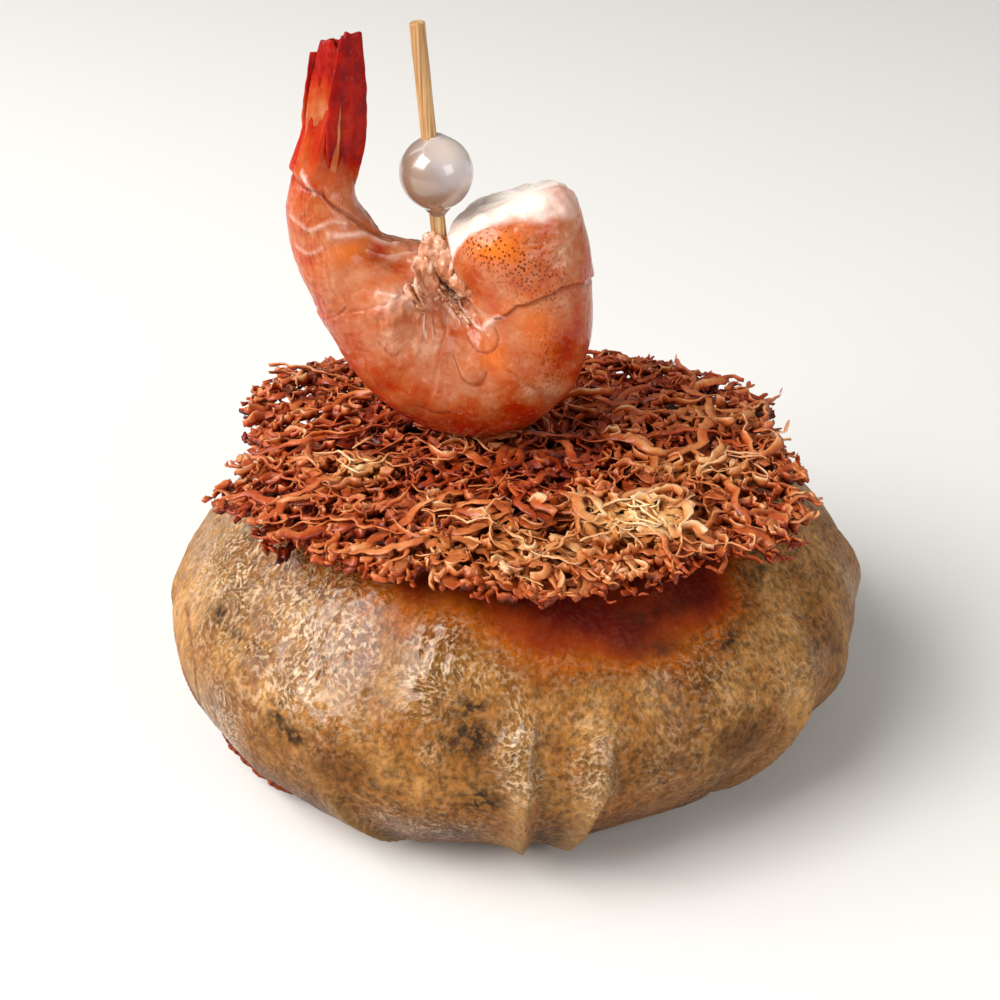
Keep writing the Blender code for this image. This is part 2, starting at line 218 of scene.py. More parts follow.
studio = {
    "camera": (-1.6, -239.6, 173.8),  # mm, from the middle of the base
    "pitch": 59.75,
    "roll": -1.17,
    "halfAngle": 15.0,  # half of the picture's angle, in degrees
    "floor": "#e6e3de",
    "floorHalf": 2000,  # mm
    "skyStrength": 0.27,
    "aimHeight": 45,  # mm above the base, where the soft boxes point
    # each soft box: where it stands and its side in mm, its power in watts
    "softBoxes": {"key": ((-560, -360, 660), 600, 9.8), "window": ((-760, 120, 660), 860, 6.0),
                  "fill": ((520, -560, 420), 460, 2.4)},
}


def makeCamera():
    data = bpy.data.cameras.new("camera")
    data.sensor_width = 36
    data.lens = 18 / math.tan(math.radians(studio["halfAngle"]))
    data.clip_start = 0.01
    camera = bpy.data.objects.new("camera", data)
    place = Matrix.Translation(Vector(studio["camera"]) * mm)
    tilt = Matrix.Rotation(math.radians(studio["pitch"]), 4, "X")
    camera.matrix_world = place @ tilt @ Matrix.Rotation(math.radians(studio["roll"]), 4, "Z")
    bpy.context.scene.collection.objects.link(camera)
    bpy.context.scene.camera = camera


def makeSoftBox(name, at, side, power):
    data = bpy.data.lights.new(name, "AREA")
    data.size = side * mm
    data.energy = power
    light = bpy.data.objects.new(name, data)
    light.location = Vector(at) * mm
    aim = Vector((0, 0, studio["aimHeight"])) * mm - light.location
    light.rotation_euler = aim.to_track_quat("-Z", "Y").to_euler()
    bpy.context.scene.collection.objects.link(light)


def makeStudio():
    makeCamera()
    for name, (at, side, power) in studio["softBoxes"].items():
        makeSoftBox(name, at, side, power)
    world = bpy.data.worlds.new("studio")
    world.use_nodes = True
    world.node_tree.nodes["Background"].inputs["Color"].default_value = (1, 1, 1, 1)
    world.node_tree.nodes["Background"].inputs["Strength"].default_value = studio["skyStrength"]
    bpy.context.scene.world = world
    bpy.context.scene.view_settings.view_transform = "Standard"
    material, tree = newMaterial("matte paper floor")
    shader = addNode(tree, "BsdfPrincipled", {"Base Color": studio["floor"], "Roughness": 0.9})
    addNode(tree, "OutputMaterial", {"Surface": shader})
    half = studio["floorHalf"]
    corners = [(x * half, y * half, 0) for x, y in ((-1, -1), (1, -1), (1, 1), (-1, 1))]
    makePiece("floor", corners, [(0, 1, 2, 3)], material, None)


# Pastry: one packet of thin oiled warqa sheets, pleated under and fried

pastry = {
    # half outline from the base's edge to the top, as radius and height in mm
    "profile": [
        (36.6, 0.0), (44.4, 4.6), (49.7, 10.9), (52.0, 17.6), (51.0, 23.8), (46.1, 30.0), (40.4, 35.6),
        (34.0, 39.8), (22.0, 42.4), (8.0, 43.0)
    ],
    "rounds": 660,
    "levels": 140,
    # folded-over sheets: angle at mid height, slant a mm, height it starts at, depth, width, edge lip
    "folds": [
        (-156, -1.1, 26, 0.35, 16, 0.2), (-134, 0.3, 22, 0.4, 12, 0.15), (-119, -0.5, 22, 0.9, 12, 0.7),
        (-103, 0.3, 18, 0.4, 9, 0.1), (-88.6, 0.05, 30, 2.0, 8, 0.8), (-78, 0.3, 28, 1.9, 8, 0.8),
        (-58, -0.3, 20, 0.5, 11, 0.1), (-40, 0.5, 30, 1.3, 8, 0.7), (-22, 0.2, 26, 0.8, 12, 0.3)
    ],
    "backFolds": 8,
    "backSeed": 7,
    "foldEdge": 1.7,  # degrees over which a fold drops on its steep side
    "foldFade": 12,  # mm over which a fold dies out upwards
    "creaseApart": 1.0,  # mm between the creases of the crinkled film
    "relief": (0.34, 0.2, 0.3, 0.07),  # mm of lumps, of creases, of wrinkles and of fine grain
    # height from which the top is toasted, and where that lies lower: angle, spread in degrees, mm
    "toastFrom": 38.0,
    "toastLower": [(-70, 31, 7.5), (-45, 25, 2.5)],
    # slow waves round the outline: how many, mm and start, and the mm taken off to make up for them
    "uneven": [(2, 0.5, 0.7), (3, 0.4, 2.1), (5, 0.3, 0.0)],
    "unevenShrink": 0.9,
    # flattened sides: angle, spread in degrees, height and depth in mm
    "flatSides": [(-52, 26, 8, 1.3), (-126, 16, 18, 0.7), (-164, 15, 5, 2.4), (-140, 12, 3, 0.8)],
    # the bottom sheet's ragged dark edge, which sticks out at the left: angle and reach in mm
    "edgeHeight": 3.2,
    "edge": [
        (-180, 40), (-173, 45.4), (-167, 47.2), (-155, 46.2), (-146, 45.4), (-138, 44.0), (-131, 40.5),
        (-129, 0)
    ],
    # where the film is crinkled and glassy, and where glints are painted on it: angle, height, spread in
    # degrees, spread in mm, strength
    "crinkled": [
        (-156, 34, 24, 8, 1.0), (-105, 33, 6.5, 4.5, 1.0), (-103, 24.2, 2, 1.6, 0.8),
        (-130, 32, 18, 8, 1.0), (-110, 33, 12, 5, 0.4), (-98, 32, 9, 3, 0.4), (-78, 22, 4, 6, 1.0),
        (-90, 24, 3.5, 6, 1.0), (-68, 21, 10, 6, 0.4), (-143, 18, 10, 9, 0.6), (-58, 27, 14, 7, 0.4),
        (-38, 24, 14, 8, 0.35), (-12, 20, 14, 9, 0.3), (-104, 12, 14, 6, 0.35)
    ],
    # dark herbs under the film: angle, height, spread in degrees, spread in mm, strength
    "herbs": [
        (-152, 29.2, 1.5, 0.9, 1.0), (-146, 28.9, 4, 0.7, 0.7), (-129, 24.4, 2.2, 1.2, 0.6),
        (-126, 22.7, 2.2, 0.9, 1.0), (-97, 29.2, 2.6, 0.8, 0.8), (-97, 26.3, 3.0, 1.6, 1.2),
        (-101, 26.0, 2.5, 0.8, 0.7), (-96, 18.3, 2.4, 1.5, 1.9), (-63, 36, 6, 0.8, 0.4),
        (-49, 31, 2.5, 0.7, 0.9), (-63, 32.6, 4, 0.7, 0.35), (-56, 28, 5, 0.9, 0.3),
        (-40, 28, 2.4, 1.4, 0.3), (-56, 36, 5, 1.0, 0.35), (-32, 34.7, 4, 0.8, 0.5), (-33, 24, 5, 1.4, 0.3),
        (-116, 15, 8, 1.4, 0.3), (130, 27, 3, 1.2, 0.8), (70, 24, 4, 1.4, 0.7), (20, 29, 3, 1.2, 0.7),
        (175, 22, 3, 1.5, 0.7), (100, 31, 5, 1.0, 0.5)
    ],
    # browner places without glints, some of them painted shade, as on the low right side
    "brownAndShade": [
        (-116, 20, 7, 3.5, 0.9), (-104, 24, 5, 3, 0.5), (-130, 20, 6, 3, 0.4), (-98, 22, 6, 6, 0.8),
        (-72, 20, 7, 5, 0.7), (-55, 20, 8, 5, 0.8), (-47, 25, 3, 3, 0.25), (-63, 33, 8, 1.6, 0.3),
        (-24, 17, 14, 6, 0.45), (-26, 22, 4, 4, 0.8), (-113, 31, 6, 3, 0.2), (-143, 26, 6, 2, 0.3),
        (-150, 15, 12, 4, 0.4), (-38, 17, 12, 5, 0.4)
    ],
    # paler, thinner places
    "paler": [
        (-72, 30, 6, 2.5, 0.3), (-69, 29.2, 4, 2.5, 0.35), (-43, 30, 9, 3.5, 0.2), (-33, 34, 9, 3, 0.35),
        (-10, 29, 10, 5, 0.2), (-41, 22, 3, 5, 0.35), (-165, 26, 8, 8, 0.25)
    ],
    # where the sheet is smooth and glassy instead of grainy
    "smooth": [(-152, 18, 24, 14, 0.5), (-120, 30, 14, 8, 0.25), (-86, 35, 14, 5, 0.5)],
    # the dark crack where the left flap tucks under: angle and height
    "crack": [
        (-164, 25.5), (-158, 24.8), (-153.5, 23.9), (-151, 21.8), (-150, 19.2), (-150, 13), (-152, 6)
    ],
    # olive-grey filling seen through it
    "fillingAndShade": [
        (-100, 9, 42, 7, 0.75), (-70, 12, 30, 8, 0.6), (-122, 14, 10, 7, 0.6), (-144, 19, 8, 9, 0.7),
        (-150, 29, 7, 4, 0.5), (-130, 10, 22, 6, 0.4), (-95, 20, 10, 8, 0.6), (-62, 21, 16, 7, 0.45),
        (-36, 21, 13, 11, 0.35), (-12, 22, 14, 12, 0.3), (-104, 31, 6, 4, 0.3)
    ],
}


def foldList():  # the folds of the front, and those of the back laid out like them
    draw = random.Random(pastry["backSeed"])
    folds = list(pastry["folds"])
    start, end = folds[-1][0], folds[0][0] + 360
    for number in range(pastry["backFolds"]):
        angle = start + (end - start) * (number + 1) / (pastry["backFolds"] + 1) + draw.uniform(-4, 4)
        depth = draw.uniform(1.2, 2.0) * (0.4 if angle > 165 else 1)  # shallow next to the left flap
        top, width = draw.uniform(25, 34), draw.uniform(10, 16)
        folds.append((angle, draw.uniform(-0.4, 0.4), top, depth, width, draw.uniform(0.3, 0.8)))
    return folds


def foldedSheets(angle, height):  # how far the folded sheets stand off, and the painted highlight along each fold's ridge
    stand, ridge, zero = np.zeros((3, *angle.shape))
    for number, (at, slant, top, depth, width, lip) in enumerate(foldList()):
        wander = smoothNoise(np.stack([height, zero, zero + number * 9.7], -1), 6, 40 + number)
        turn = angleBetween(angle, at + slant * (height - 16) + 0.9 * wander)
        fade = np.clip((top - height) / pastry["foldFade"], 0, 1)
        drop = np.clip(1 - turn / pastry["foldEdge"], 0, 1) ** 1.3 * (turn >= 0)
        rise = np.clip(1 + turn / width, 0, 1) ** 1.8 * (turn < 0)
        edge = smoothStep(-turn, -0.35, 0.35) * np.clip(1 + turn / (width * 0.5), 0, 1)
        stand += fade * (depth * (drop + rise) + lip * edge)
        # painted highlight: a pale band on the raised side just beside each fold's edge
        near = bell(turn + 1.3, 2.0) * min(1, lip * 1.3)
        ridge = np.maximum(ridge, fade ** 0.5 * near)
    return stand, ridge


def pastryMaterial():
    # fried warqa: a paper-thin oiled film, glassy where it is crinkled, dull and leathery where it lies flat
    material, tree = newMaterial("fried warqa pastry")
    place = addNode(tree, "TexCoord", out="Object")
    film = addNode(tree, "Attribute", out="Vector", attribute_name="film")
    toast, fillingAndShade, grainy, ridge, herb, crisp, crinkle = [
        addNode(tree, "Attribute", out="Fac", attribute_name=name)
        for name in ("toast", "fillingAndShade", "grainy", "ridge", "herb", "crisp", "crinkle")]
    # fried blotches about 8 mm across, and the grains of the dough: 0.6 mm, drawn 1.15 mm so that they show
    blotches, grains = [
        addNode(tree, "TexNoise", {"Vector": place, "Scale": 1 / (size * mm), "Detail": detail,
                                   "Roughness": 0.6})
        for size, detail in ((8, 5.0), (1.15, 2.0))]
    spread = addNode(tree, "Math", {0: blotches, 1: 0.5}, operation="SUBTRACT")
    spread = addNode(tree, "Math", {0: spread, 1: 0.8, 2: toast}, operation="MULTIPLY_ADD")
    colour = addNode(tree, "ValToRGB", {"Fac": spread},
                     stops=[(0.0, "#c08c4e"), (0.2, "#96622a"), (0.38, "#864b15"), (0.58, "#9a4c04"),
                            (0.8, "#842c00"), (1.0, "#5c0c00")])
    pits, ragged, singed = [
        addNode(tree, "ValToRGB", {"Fac": grains}, stops=stops)
        for stops in ([(0.34, 0.32), (0.5, 0.82), (0.66, 1.28)], [(0.46, 1.0), (0.62, 0.3)],
                      [(0.36, "#3a0d03"), (0.64, "#8a3a12")])]
    # facets of the crumpled film 0.7 mm across, where the finest real ones are half of that, and clusters for
    # the glints painted pale on their crests
    facets, clusters = [addNode(tree, "TexNoise", {"Vector": film, "Scale": scale, "Detail": 2.0})
                        for scale in (1.5, 0.3)]
    clusters = addNode(tree, "ValToRGB", {"Fac": clusters}, stops=[(0.34, 0.3), (0.58, 1.0)])
    # painted highlight: pale glints painted on the crests of the facets where the film is crinkled
    paintedHighlightCrest = addNode(tree, "ValToRGB", {"Fac": facets}, stops=[(0.47, 0.0), (0.54, 0.45), (0.64, 0.85)])
    paintedGlints, herbs, creases, bumps = [
        addNode(tree, "Math", {0: first, 1: second}, operation="MULTIPLY")
        for first, second in ((paintedHighlightCrest, clusters), (herb, ragged), (facets, crinkle), (grains, grainy))]
    paintedGlints = addNode(tree, "Math", {0: paintedGlints, 1: crinkle}, operation="MULTIPLY")
    # layers from the filling and painted shade below to the painted glints on top
    for share, over, blend in (
            (fillingAndShade, "#482a10", "MIX"), (grainy, pits, "MULTIPLY"), (ridge, "#ad8450", "MIX"),
            (herbs, "#2e1c0d", "MIX"), (crisp, singed, "MIX"), (paintedGlints, "#f2cda2", "MIX")):
        colour = addNode(tree, "Mix", {0: share, 6: colour, 7: over}, 2, data_type="RGBA", blend_type=blend)
    height = addNode(tree, "Math", {0: creases, 1: 3.8, 2: bumps}, operation="MULTIPLY_ADD")
    bump = addNode(tree, "Bump", {"Height": height, "Strength": 1.0, "Distance": 0.45 * mm})
    dull, oil = [addNode(tree, "ValToRGB", {"Fac": crinkle}, stops=stops)
                 for stops in ([(0.1, 0.5), (0.6, 0.18)], [(0.15, 0.0), (0.6, 0.5)])]
    shader = addNode(tree, "BsdfPrincipled", {
        "Base Color": colour, "Roughness": dull, "Normal": bump, "Subsurface Weight": 0.1,
        "Subsurface Radius": (2.2 * mm, 1.0 * mm, 0.4 * mm), "Subsurface Scale": 1.0,
        "Specular IOR Level": 0.1, "Coat Weight": oil, "Coat Roughness": 0.08})
    addNode(tree, "OutputMaterial", {"Surface": shader})
    return material


def pastryPaints(angle, height, lumps, back):  # where it is toasted, crisp, thin over the filling or herbs, and its painted shade low down
    starts = pastry["toastFrom"] - sum(drop * bell(angleBetween(angle, at), wide)
                                       for at, wide, drop in pastry["toastLower"])
    toast = smoothStep(height + 1.4 * lumps, starts - 3.5, starts + 7.0)
    toast = 0.2 + 0.8 * toast + 0.12 * smoothStep(height, 20, 5)
    crisp = smoothStep(height + 0.5 * lumps, pastry["edgeHeight"] + 1.9, pastry["edgeHeight"] + 0.9)
    crisp = crisp * smoothStep(angle, -178, -173) * smoothStep(angle, -129, -136)
    flat = np.array([0.85, 1.0])  # mm along a degree at that place, and along a mm of height
    crack = offLine(np.stack([angle, height], -1) * flat, np.array(pastry["crack"]) * flat, 8)
    crisp = np.maximum(crisp, 0.8 * bell(crack, 0.4))
    crisp = np.maximum(crisp, 0.5 * smoothStep(height, 2.2, 0.4))
    patchy = 0.75 + 0.6 * lumps
    herb, fillingAndShade, brownAndShade, paler, smooth = (spots(angle, height, pastry[name]) for name in (
        "herbs", "fillingAndShade", "brownAndShade", "paler", "smooth"))
    toast = toast - paler * patchy
    # the brown places, some of them painted shade, join the filling's dark layer
    fillingAndShade = np.maximum(np.clip(fillingAndShade * patchy, 0, 0.8), np.clip(brownAndShade * patchy * 1.2, 0, 0.7))
    # painted shade: darker towards the bottom, where less light reaches the low sides
    fillingAndShade = np.maximum(fillingAndShade, (0.68 + 0.6 * lumps) * smoothStep(height, 23, 9))
    fillingAndShade = np.maximum(fillingAndShade, 0.5 * back * smoothStep(lumps, 0.0, 0.5) * smoothStep(height, 34, 24))
    return {"toast": toast, "crisp": crisp, "herb": np.clip(herb * patchy * 2.0, 0, 1), "fillingAndShade": fillingAndShade,
            "grainy": (1 - smooth) * (0.8 - 0.62 * smoothStep(toast + 0.15 * lumps, 0.5, 0.8))}


def makePastry():
    outline = smoothThrough(pastry["profile"], 24)
    length = np.concatenate([[0], np.cumsum(np.linalg.norm(np.diff(outline, axis=0), axis=1))])
    # rows lie closer together on the side, where the folds show
    share = np.linspace(0, 1, pastry["levels"])[:, None] ** 1.25
    radius, height = (np.interp(share * length[-1], length, outline[:, k]) for k in (0, 1))
    angle = np.linspace(-180, 180, pastry["rounds"], endpoint=False)[None]
    angle, radius, height = (np.array(values) for values in np.broadcast_arrays(angle, radius, height))
    turn = np.radians(angle)
    stand, ridge = foldedSheets(angle, height)
    uneven = sum(size * np.sin(count * turn + start) for count, size, start in pastry["uneven"])
    inner = np.minimum(1, radius / pastry["profile"][0][0])
    real = radius + inner * (uneven - pastry["unevenShrink"] + stand)
    for at, wide, z, depth in pastry["flatSides"]:
        real = real - depth * np.exp(-(angleBetween(angle, at) / wide) ** 2 - ((height - z) / 9) ** 2)
    grid = np.stack([real * np.cos(turn), real * np.sin(turn), height], -1)
    reach = np.interp(angle, *zip(*pastry["edge"])) - 0.3
    reach = reach + 0.5 * smoothNoise(grid, 2.4, 11) + 0.35 * smoothNoise(grid, 0.9, 13)
    edge = bell(height - pastry["edgeHeight"], 0.9)
    real = real + edge * np.clip(reach - real, 0, 9)
    grid = np.stack([real * np.cos(turn), real * np.sin(turn), height], -1)
    normals = gridNormals(grid)
    back = smoothStep(np.abs(angleBetween(angle, 90)), 100, 60)
    patches = smoothStep(smoothNoise(grid, 13, 21), -0.25, 0.55) * smoothStep(height, 10, 20)
    crinkle = np.clip(spots(angle, height, pastry["crinkled"]) + 0.5 * back * patches, 0.14, 1)
    brownAndShade = spots(angle, height, pastry["brownAndShade"])
    crinkle = np.clip(crinkle * (1 + 0.5 * smoothNoise(grid, 5, 12)) * (1 - 0.8 * brownAndShade), 0, 1)
    # the film's own space, pushed about so that its creases run unevenly
    film = (roughened(grid, 1.6, 9, 5) + roughened(grid, 0.5, 3, 8) - grid) / pastry["creaseApart"]
    lumps = smoothNoise(grid, 9, 1)
    creases, wrinkles = (ridged(film * scale, 1.0, seed) for scale, seed in ((0.5, 2), (0.22, 3)))
    lumpy, creased, wrinkled, grainy = pastry["relief"]
    relief = lumpy * lumps + crinkle * (creased * creases + wrinkled * wrinkles)
    relief = (relief + grainy * smoothNoise(grid, 1.6, 4)) * smoothStep(height, 0.0, 3.0)
    grid = grid + normals * relief[..., None]
    grid[..., 2] = np.maximum(grid[..., 2], 0)
    paints = pastryPaints(angle, height, lumps, back)
    crinkle = crinkle * (1 - 0.8 * paints["herb"]) * (1 - 0.6 * paints["crisp"])
    crinkle = crinkle * (1 - 0.85 * smoothStep(paints["toast"], 0.5, 0.75))
    paints.update(ridge=0.4 * ridge, crinkle=crinkle, film=film)
    points, faces, paints = closedGrid(grid, paints)
    piece = makePiece("pastry", points, faces, pastryMaterial(), "pastry", paints)
    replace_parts(piece, "pastilla")


# Lace crisp: a thin batter fried into a net of bubbles, with curled ribbons and ragged twigs

lace = {
    # ragged outline, angle and radius in mm
    "rim": [
        (-167, 43.5), (-149, 41.0), (-125, 38.0), (-100, 39.5), (-80, 40.5), (-62, 39.5), (-37, 45.0),
        (-17, 44.5), (-2, 38.0), (16, 40.5), (40, 34.0), (62, 30.0), (90, 31.0), (120, 35.5), (146, 42.0),
        (166, 40.5), (179, 36.0)
    ],
    "base": 43.3,  # mm, height of its underside in the middle
    "lowest": 40.8,  # mm, that no bubble hangs below
    "paintedHighlightCrest": 2.6,  # how much paler the top edges are painted, a painted highlight
    "droop": 1.9,  # mm at the rim
    "waves": [(3, 0.8, 0.5), (7, 0.5, 1.3)],  # of the rim: how many, mm and start
    "seed": 23,
    "netReach": 50,  # mm
    # nets of bubbles: cell size, half height and half thickness of a wall and lift in mm, share of the
    # walls left out, share of the bubbles that keep a torn film
    "nets": [
        (5.2, 0.95, 0.2, 0.8, 0.05, 0.25), (4.6, 1.0, 0.17, 1.9, 0.2, 0.15), (3.9, 0.8, 0.15, 2.8, 0.5, 0.1)
    ],
    # strands: how many, length or radius of the curl, half width and half thickness in mm
    "flowing": {"count": 330, "long": (6, 24), "wide": (0.25, 0.95), "thin": (0.1, 0.2)},
    "curls": {"count": 260, "radius": (0.8, 2.1), "wide": (0.4, 0.95), "thin": (0.1, 0.17)},
    "twigs": {"count": 200, "long": (2.6, 5.6), "wide": (0.4, 0.85)},
    "threads": {"count": 46, "long": (4, 10), "wide": 0.16, "thin": 0.14},
    "foot": (-8.5, -5.0),  # x and y of the prawn's foot, where the curls are thickest
    # places where the batter stayed golden or was burnt: x, y, spread, spread, strength
    "golden": [
        (17, -25, 8, 5, 1.0), (26, -11, 10, 4, 0.4), (-21, -10, 4, 4, 0.8), (-10, -22, 10, 5, 0.1),
        (2, -32, 14, 6, 0.45), (30, 3, 8, 4, 0.25), (14, -17, 12, 4, 0.05)
    ],
    "burnt": [
        (-33, 22, 10, 10, 1.0), (-20, 27, 9, 6, 0.9), (14, 26, 8, 6, 0.9), (30, 20, 9, 7, 0.6),
        (42, 4, 5, 6, 0.6), (-40, -6, 5, 5, 0.5), (-27, -23, 8, 6, 0.4)
    ],
}


def laceRim(x, y):  # how far the lace reaches in the direction of a point
    return allRound(np.degrees(np.arctan2(y, x)), lace["rim"])


def laceUnder(x, y):  # height of the lace's underside
    turn = np.arctan2(y, x)
    wave = sum(size * np.sin(count * turn + start) for count, size, start in lace["waves"])
    return lace["base"] + (np.hypot(x, y) / 40) ** 3 * (wave - lace["droop"])


def underPrawn(x, y):  # the height that the lace may reach where the prawn's foot stands in it
    foot = [row[2:4] for row in prawn["stations"][6:15]]
    low = np.interp(x, *zip((-30, 80), *foot, (16, 80)))
    aside = np.clip(np.abs(y - prawn["y"]) / prawn["footHalf"], 0, 1)
    return low + 9 * (1 - np.sqrt(1 - aside ** 2)) + 30 * (aside >= 1)


class Strands:  # many swept ribbons, gathered as one mesh
    def __init__(self):
        self.points, self.faces, self.tones, self.count = [], [], [], 0

    def add(self, path, wide, tall, twist, tone, sides=7):
        along = unit(np.gradient(path, axis=0))
        side = unit(np.cross(along, (0.02, 0.03, 1.0)))
        upper = np.cross(side, along)
        turn = np.linspace(0, 2 * np.pi, sides, endpoint=False)
        c, s = np.cos(twist)[:, None], np.sin(twist)[:, None]
        across, above = c * side + s * upper, c * upper - s * side
        rings = path[:, None] + (wide[:, None] * np.cos(turn))[..., None] * across[:, None]
        rings = rings + (tall[:, None] * np.sin(turn))[..., None] * above[:, None]
        points, faces, _ = closedGrid(rings)
        self.points.append(points)
        self.faces.extend([index + self.count for index in face] for face in faces)
        self.count += len(points)
        rise = (rings[..., 2] - path[:, None, 2]).ravel()  # each edge is painted paler at its top, a painted highlight
        self.tones.append(tone + lace["paintedHighlightCrest"] * np.concatenate([rise, [0, 0]]))


def honeycomb(cell):  # corners of six-sided cells, the walls between them and the ring of each cell
    size = cell / math.sqrt(3)
    corners, walls, rings = {}, set(), []
    reach = int(lace["netReach"] / cell) + 2
    for row, column in itertools.product(range(-reach, reach + 1), repeat=2):
        middle = (cell * (column + 0.5 * (row % 2)), 1.5 * size * row)
        ring = []
        for k in range(6):
            turn = math.radians(60 * k + 30)
            x, y = middle[0] + size * math.cos(turn), middle[1] + size * math.sin(turn)
            key = (round(x * 4), round(y * 4))
            near = next((other for other in itertools.product(*[(v, v - 1, v + 1) for v in key])
                         if other in corners), key)
            corners.setdefault(near, (x, y))
            ring.append(near)
        walls.update(tuple(sorted((ring[k], ring[(k + 1) % 6]))) for k in range(6))
        rings.append(ring)
    return corners, walls, rings


def bubbleWall(strands, rng, ends, raised, tall, thick, lift):  # a wall that winds between two corners
    a, b = ends
    middle = (a + b) / 2
    if np.hypot(*middle) > laceRim(*middle) - rng.uniform(0.0, 1.6):
        return
    steps = np.linspace(0, 1, 8)
    line = a + (b - a) * steps[:, None]
    across = np.array([a[1] - b[1], b[0] - a[0]])
    winding = rng.uniform(-0.25, 0.25) + 0.16 * np.sin(9 * steps + rng.uniform(0, 6))
    line = line + across * (np.sin(np.pi * steps) * winding)[:, None]
    up = laceUnder(*line.T) + lift + raised[0] * (1 - steps) + raised[1] * steps
    half = tall * (0.8 + 0.35 * np.sin(steps * rng.uniform(3, 9) + rng.uniform(0, 6)))
    up = np.minimum(up, underPrawn(*line.T) - half)
    lean = rng.normal(0, 0.25) + np.cumsum(rng.normal(0, 0.16, 8))
    strands.add(np.column_stack([line, np.maximum(up, lace["lowest"])]), thick * (0.7 + 0.6 * rng.random(8)),
                half, lean, rng.normal(0, 0.5), sides=6)


def tornFilm(strands, rng, corners, cell, lift, webs):  # film that stayed in a bubble, torn in the middle
    middle = corners.mean(0)
    gold = spots(middle[:1], middle[1:], lace["golden"], around=False)[0]
    if np.hypot(*middle) > laceRim(*middle) - 2 or rng.random() > webs + 0.6 * gold:
        return
    loop = np.vstack([corners, corners[:1]])
    loop = np.column_stack([np.interp(np.linspace(0, 6, 19), range(7), loop[:, k]) for k in (0, 1)])
    inward = 0.62 + 0.1 * rng.random()
    line = middle + (loop - middle) * inward
    up = laceUnder(*line.T) + lift + rng.uniform(-0.4, 0.5) + 0.15 * rng.random(19)
    up = np.minimum(up, underPrawn(*line.T) - 0.2)
    wide = cell * 0.5 * (1.05 - inward) * (0.8 + 0.5 * rng.random(19))
    strands.add(np.column_stack([line, up]), wide, np.full(19, 0.09), rng.normal(0, 0.25, 19),
                rng.normal(0.2, 0.5))


def bubbleNet(strands, rng, cell, tall, thick, lift, missing, webs):  # an uneven honeycomb of thin walls
    corners, walls, rings = honeycomb(cell)
    keys = sorted(corners)
    number = {key: k for k, key in enumerate(keys)}
    flat = np.array([(*corners[key], 7.0 * lift) for key in keys])
    flat = roughened(flat, 2.4, 13, int(cell * 100))[:, :2] + rng.normal(0, 0.16 * cell, (len(keys), 2))
    raised = rng.normal(0, 0.45, len(keys))
    for wall in sorted(walls):
        if rng.random() >= missing:
            ends = [number[key] for key in wall]
            bubbleWall(strands, rng, flat[ends], raised[ends], tall, thick, lift)
    for ring in rings:
        tornFilm(strands, rng, flat[[number[key] for key in ring]], cell, lift, webs)


def freeStrand(strands, rng, start, heading, length, bend, lift, wide, thin, twist, tone):
    # a strand that winds from its start and stops a little past the rim
    steps = max(6, int(length / 0.75))
    waver = 0.45 * np.sin(np.arange(steps) * rng.uniform(0.5, 1.1) + rng.uniform(0, 6))
    turns = heading + np.cumsum(bend + rng.normal(0, 0.12, steps)) + waver
    moves = np.column_stack([np.cos(turns), np.sin(turns)]) * length / steps
    line = start + np.cumsum(moves, axis=0)
    inside = np.hypot(*line.T) < laceRim(*line.T) + rng.uniform(0.3, 2.4)
    steps = max(4, int(np.argmin(inside)) if not inside.all() else steps)
    line, turns = line[:steps], turns[:steps]
    along = np.linspace(0, 1, steps)
    up = np.minimum(laceUnder(*line.T) + lift(along), underPrawn(*line.T) - thin)
    ends = 0.55 + 0.45 * np.sin(np.pi * np.clip(along, 0.02, 0.98)) ** 0.5
    bumpy = 0.8 + 0.4 * rng.random(steps)
    strands.add(np.column_stack([line, up]), wide * ends * bumpy, thin * ends, twist(along), tone)
    return line, turns


def randomSpot(rng, inset):
    while True:
        x, y = rng.uniform(-46, 46, 2)
        if np.hypot(x, y) < laceRim(x, y) - inset:
            return np.array([x, y])


def flowingRibbons(strands, rng):  # flat noodles that run side by side and dip into each other
    kind = lace["flowing"]
    for _ in range(kind["count"]):
        start = randomSpot(rng, 5)
        field = smoothNoise(np.array([[*start, 0.0]]), 22, 77)[0]
        heading = 2.4 * field + rng.choice([0, math.pi]) + rng.normal(0, 0.25)
        low, rise, phase = rng.uniform(1.0, 3.8), rng.uniform(0.2, 0.9), rng.uniform(0, 6)
        turn, lean = rng.normal(0, 1.2), rng.uniform(-0.6, 0.6)
        freeStrand(strands, rng, start, heading, rng.uniform(*kind["long"]), rng.normal(0, 0.04),
                   lambda t: low + rise * np.sin(5 * t + phase), rng.uniform(*kind["wide"]),
                   rng.uniform(*kind["thin"]), lambda t: lean + turn * t, rng.normal(0.3, 0.5))


def curledRibbons(strands, rng):  # ribbons on edge that curl round like shavings
    kind = lace["curls"]
    for number in range(kind["count"]):
        start = randomSpot(rng, 1.0)
        if number % 9 == 0:
            start = lace["foot"] + rng.normal(0, 2.6, 2)
        radius = rng.uniform(*kind["radius"])
        length = radius * rng.uniform(2.0, 6.0)
        low, rise = rng.uniform(1.2, 4.0), rng.uniform(-0.5, 1.2)
        lean = rng.normal(math.pi / 2, 0.5)
        bend = 0.75 / radius * rng.choice([-1, 1])
        freeStrand(strands, rng, start, rng.uniform(0, 6.28), length, bend, lambda t: low + rise * t,
                   rng.uniform(*kind["wide"]), rng.uniform(*kind["thin"]), lambda t: lean + 0.8 * t,
                   rng.normal(0.5, 0.6))


